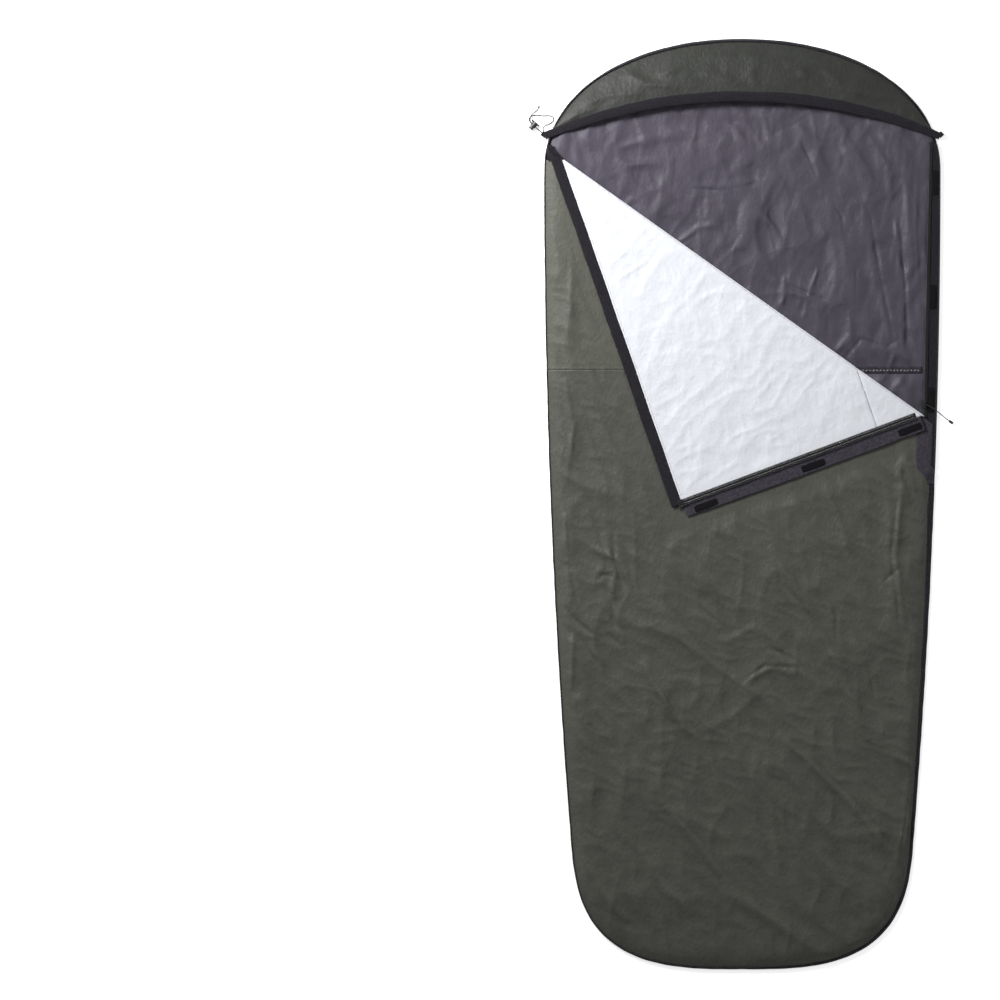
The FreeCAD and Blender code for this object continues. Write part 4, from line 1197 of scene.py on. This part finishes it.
TAIL_ROUTE = [lock_point(*place) for place in (
    (-0.027, 0.0004, 0.0094), (-0.0145, 0.0, 0.00905), (0.011, 0.0, 0.00905), (0.0185, -0.0075, 0.0066),
    (0.0205, -0.019, 0.0032), (0.017, -0.031, 0.0016), (0.0195, -0.042, 0.0015))]
LOOP_ROUTE = [lock_point(*place) for place in (
    (-0.027, -0.0004, 0.0054), (-0.0145, 0.0, 0.00555), (0.011, 0.0, 0.00555), (0.0195, -0.005, 0.003),
    (0.0185, -0.016, 0.0015), (0.009, -0.025, 0.0015), (-0.003, -0.033, 0.0015), (-0.013, -0.043, 0.0015),
    (-0.0215, -0.0465, 0.0015), (-0.0285, -0.040, 0.0015), (-0.027, -0.030, 0.0015), (-0.021, -0.020, 0.0016),
    (-0.0205, -0.0105, 0.0046), (-0.027, -0.0042, 0.0074))]
PULL_ROUTE = [zip_point(SLIDER_ALONG + along, across, z) for along, across, z in (
    (0.0, 0.0028, 0.0204), (-0.003, 0.0105, 0.0196), (-0.008, 0.020, 0.0172), (-0.0135, 0.0295, 0.0154),
    (-0.021, 0.039, 0.0144), (-0.028, 0.048, 0.0115), (-0.034, 0.056, 0.007), (-0.0385, 0.063, 0.0036))]


def cord(name, route, diameter):
    """A smooth round cord along a route."""
    curve = bpy.data.curves.new(name, "CURVE")
    curve.dimensions = "3D"
    curve.bevel_depth = diameter / 2
    curve.bevel_resolution = 4
    curve.resolution_u = 12
    curve.use_fill_caps = True
    spline = curve.splines.new("NURBS")
    spline.points.add(len(route) - 1)
    for point, place in zip(spline.points, route):
        point.co = (*place, 1)
    spline.order_u = 3
    spline.use_endpoint_u = True
    curve.materials.append(CORD)
    return placed(name, curve)


def cords():
    """The drawcord outside its channel, and the slider's pull cord."""
    tail = belongs(cord("drawcord_free_end", TAIL_ROUTE, 0.0025), "root", "cord", "drawcord_tail")
    loop = belongs(cord("drawcord_anchor_loop", LOOP_ROUTE, 0.0025), "root", "cord", "drawcord_loop")
    pull = belongs(cord("zip_pull_cord", PULL_ROUTE, 0.0022), "pull", "cord", "pull_cord")


CAD_MATERIALS = {
    "drawcord_knot": CORD,
    "cord_lock_barrel": PLASTIC, "cord_lock_button": PLASTIC, "cord_lock_spring": STEEL,
    "pull_bead": PLASTIC, "pull_ring": ENAMEL, "zip_slider": ENAMEL, "zip_bottom_stop": ENAMEL,
    "zip_top_stop_base": ENAMEL, "zip_top_stop_flap": ENAMEL,
    "corner_tab_left": TRIM, "corner_tab_right": TRIM,
}


def cad_materials():
    """Better materials on the CAD pieces that stay as they are."""
    for node, mat in CAD_MATERIALS.items():
        mesh = frame["nodes"][node].data
        mesh.materials.clear()
        mesh.materials.append(mat)


# ---------------------------------------------------------------- studio

FRAME_WIDTH = 2.366                         # metres across the picture at the sack
PLACE_IN_FRAME = Vector((0.573, -0.0095))   # the sack's middle, right of and below the picture's
LIGHT_AIM = Vector((0, 0.15, 0))
FLOOR_HALF = 30.0
FLOOR_Z = -0.001


def studio():
    """Pale floor, soft lights and a camera straight overhead with a long lens."""
    mat = Material("pale_floor")
    pale = mat.ramp(mat.noise(3, 2), (0.3, 0.93), (0.7, 0.95))
    floor_mat = mat.finished(pale, 0.9, Emission_Color=(1, 1, 1, 1), Emission_Strength=0.6)
    corners = [(FLOOR_HALF * x, FLOOR_HALF * y, FLOOR_Z) for x, y in ((-1, -1), (1, -1), (1, 1), (-1, 1))]
    floor = mesh_object("studio_floor", corners, [(0, 1, 2, 3)], floor_mat)
    world = bpy.data.worlds.new("studio_world")
    world.use_nodes = True
    sky = world.node_tree.nodes["Background"].inputs
    sky["Color"].default_value = (0.96, 0.97, 1.0, 1)
    sky["Strength"].default_value = 0.26
    bpy.context.scene.world = world
    lights = (("key", (-1.6, 1.7, 1.5), 0.8, 97), ("fill", (2.4, 0.8, 2.6), 2.0, 18))
    for name, place, width, power in lights:
        lamp = bpy.data.lights.new(name, "AREA")
        lamp.shape = "SQUARE"
        lamp.size = width
        lamp.energy = power
        obj = placed(name, lamp)
        obj.location = place
        obj.rotation_euler = (LIGHT_AIM - Vector(place)).to_track_quat("-Z", "Y").to_euler()
    camera_data = bpy.data.cameras.new("camera")
    camera_data.lens = 200
    camera_data.sensor_width = 36
    height = FRAME_WIDTH * camera_data.lens / camera_data.sensor_width
    camera_data.clip_end = 100
    camera = placed("camera", camera_data)
    camera.location = (-PLACE_IN_FRAME.x, -PLACE_IN_FRAME.y, height)
    bpy.context.scene.camera = camera
    bpy.context.scene.view_settings.view_transform = "Standard"
    bpy.context.scene.view_settings.look = "None"


studio()
cords()
cad_materials()
ground_sheets()
seams()
top_sheets()
fold_rolls()
hood()
hood_hem()
edge_bindings()
zip_side()
zips()
storm_flaps()
mouth_hem()
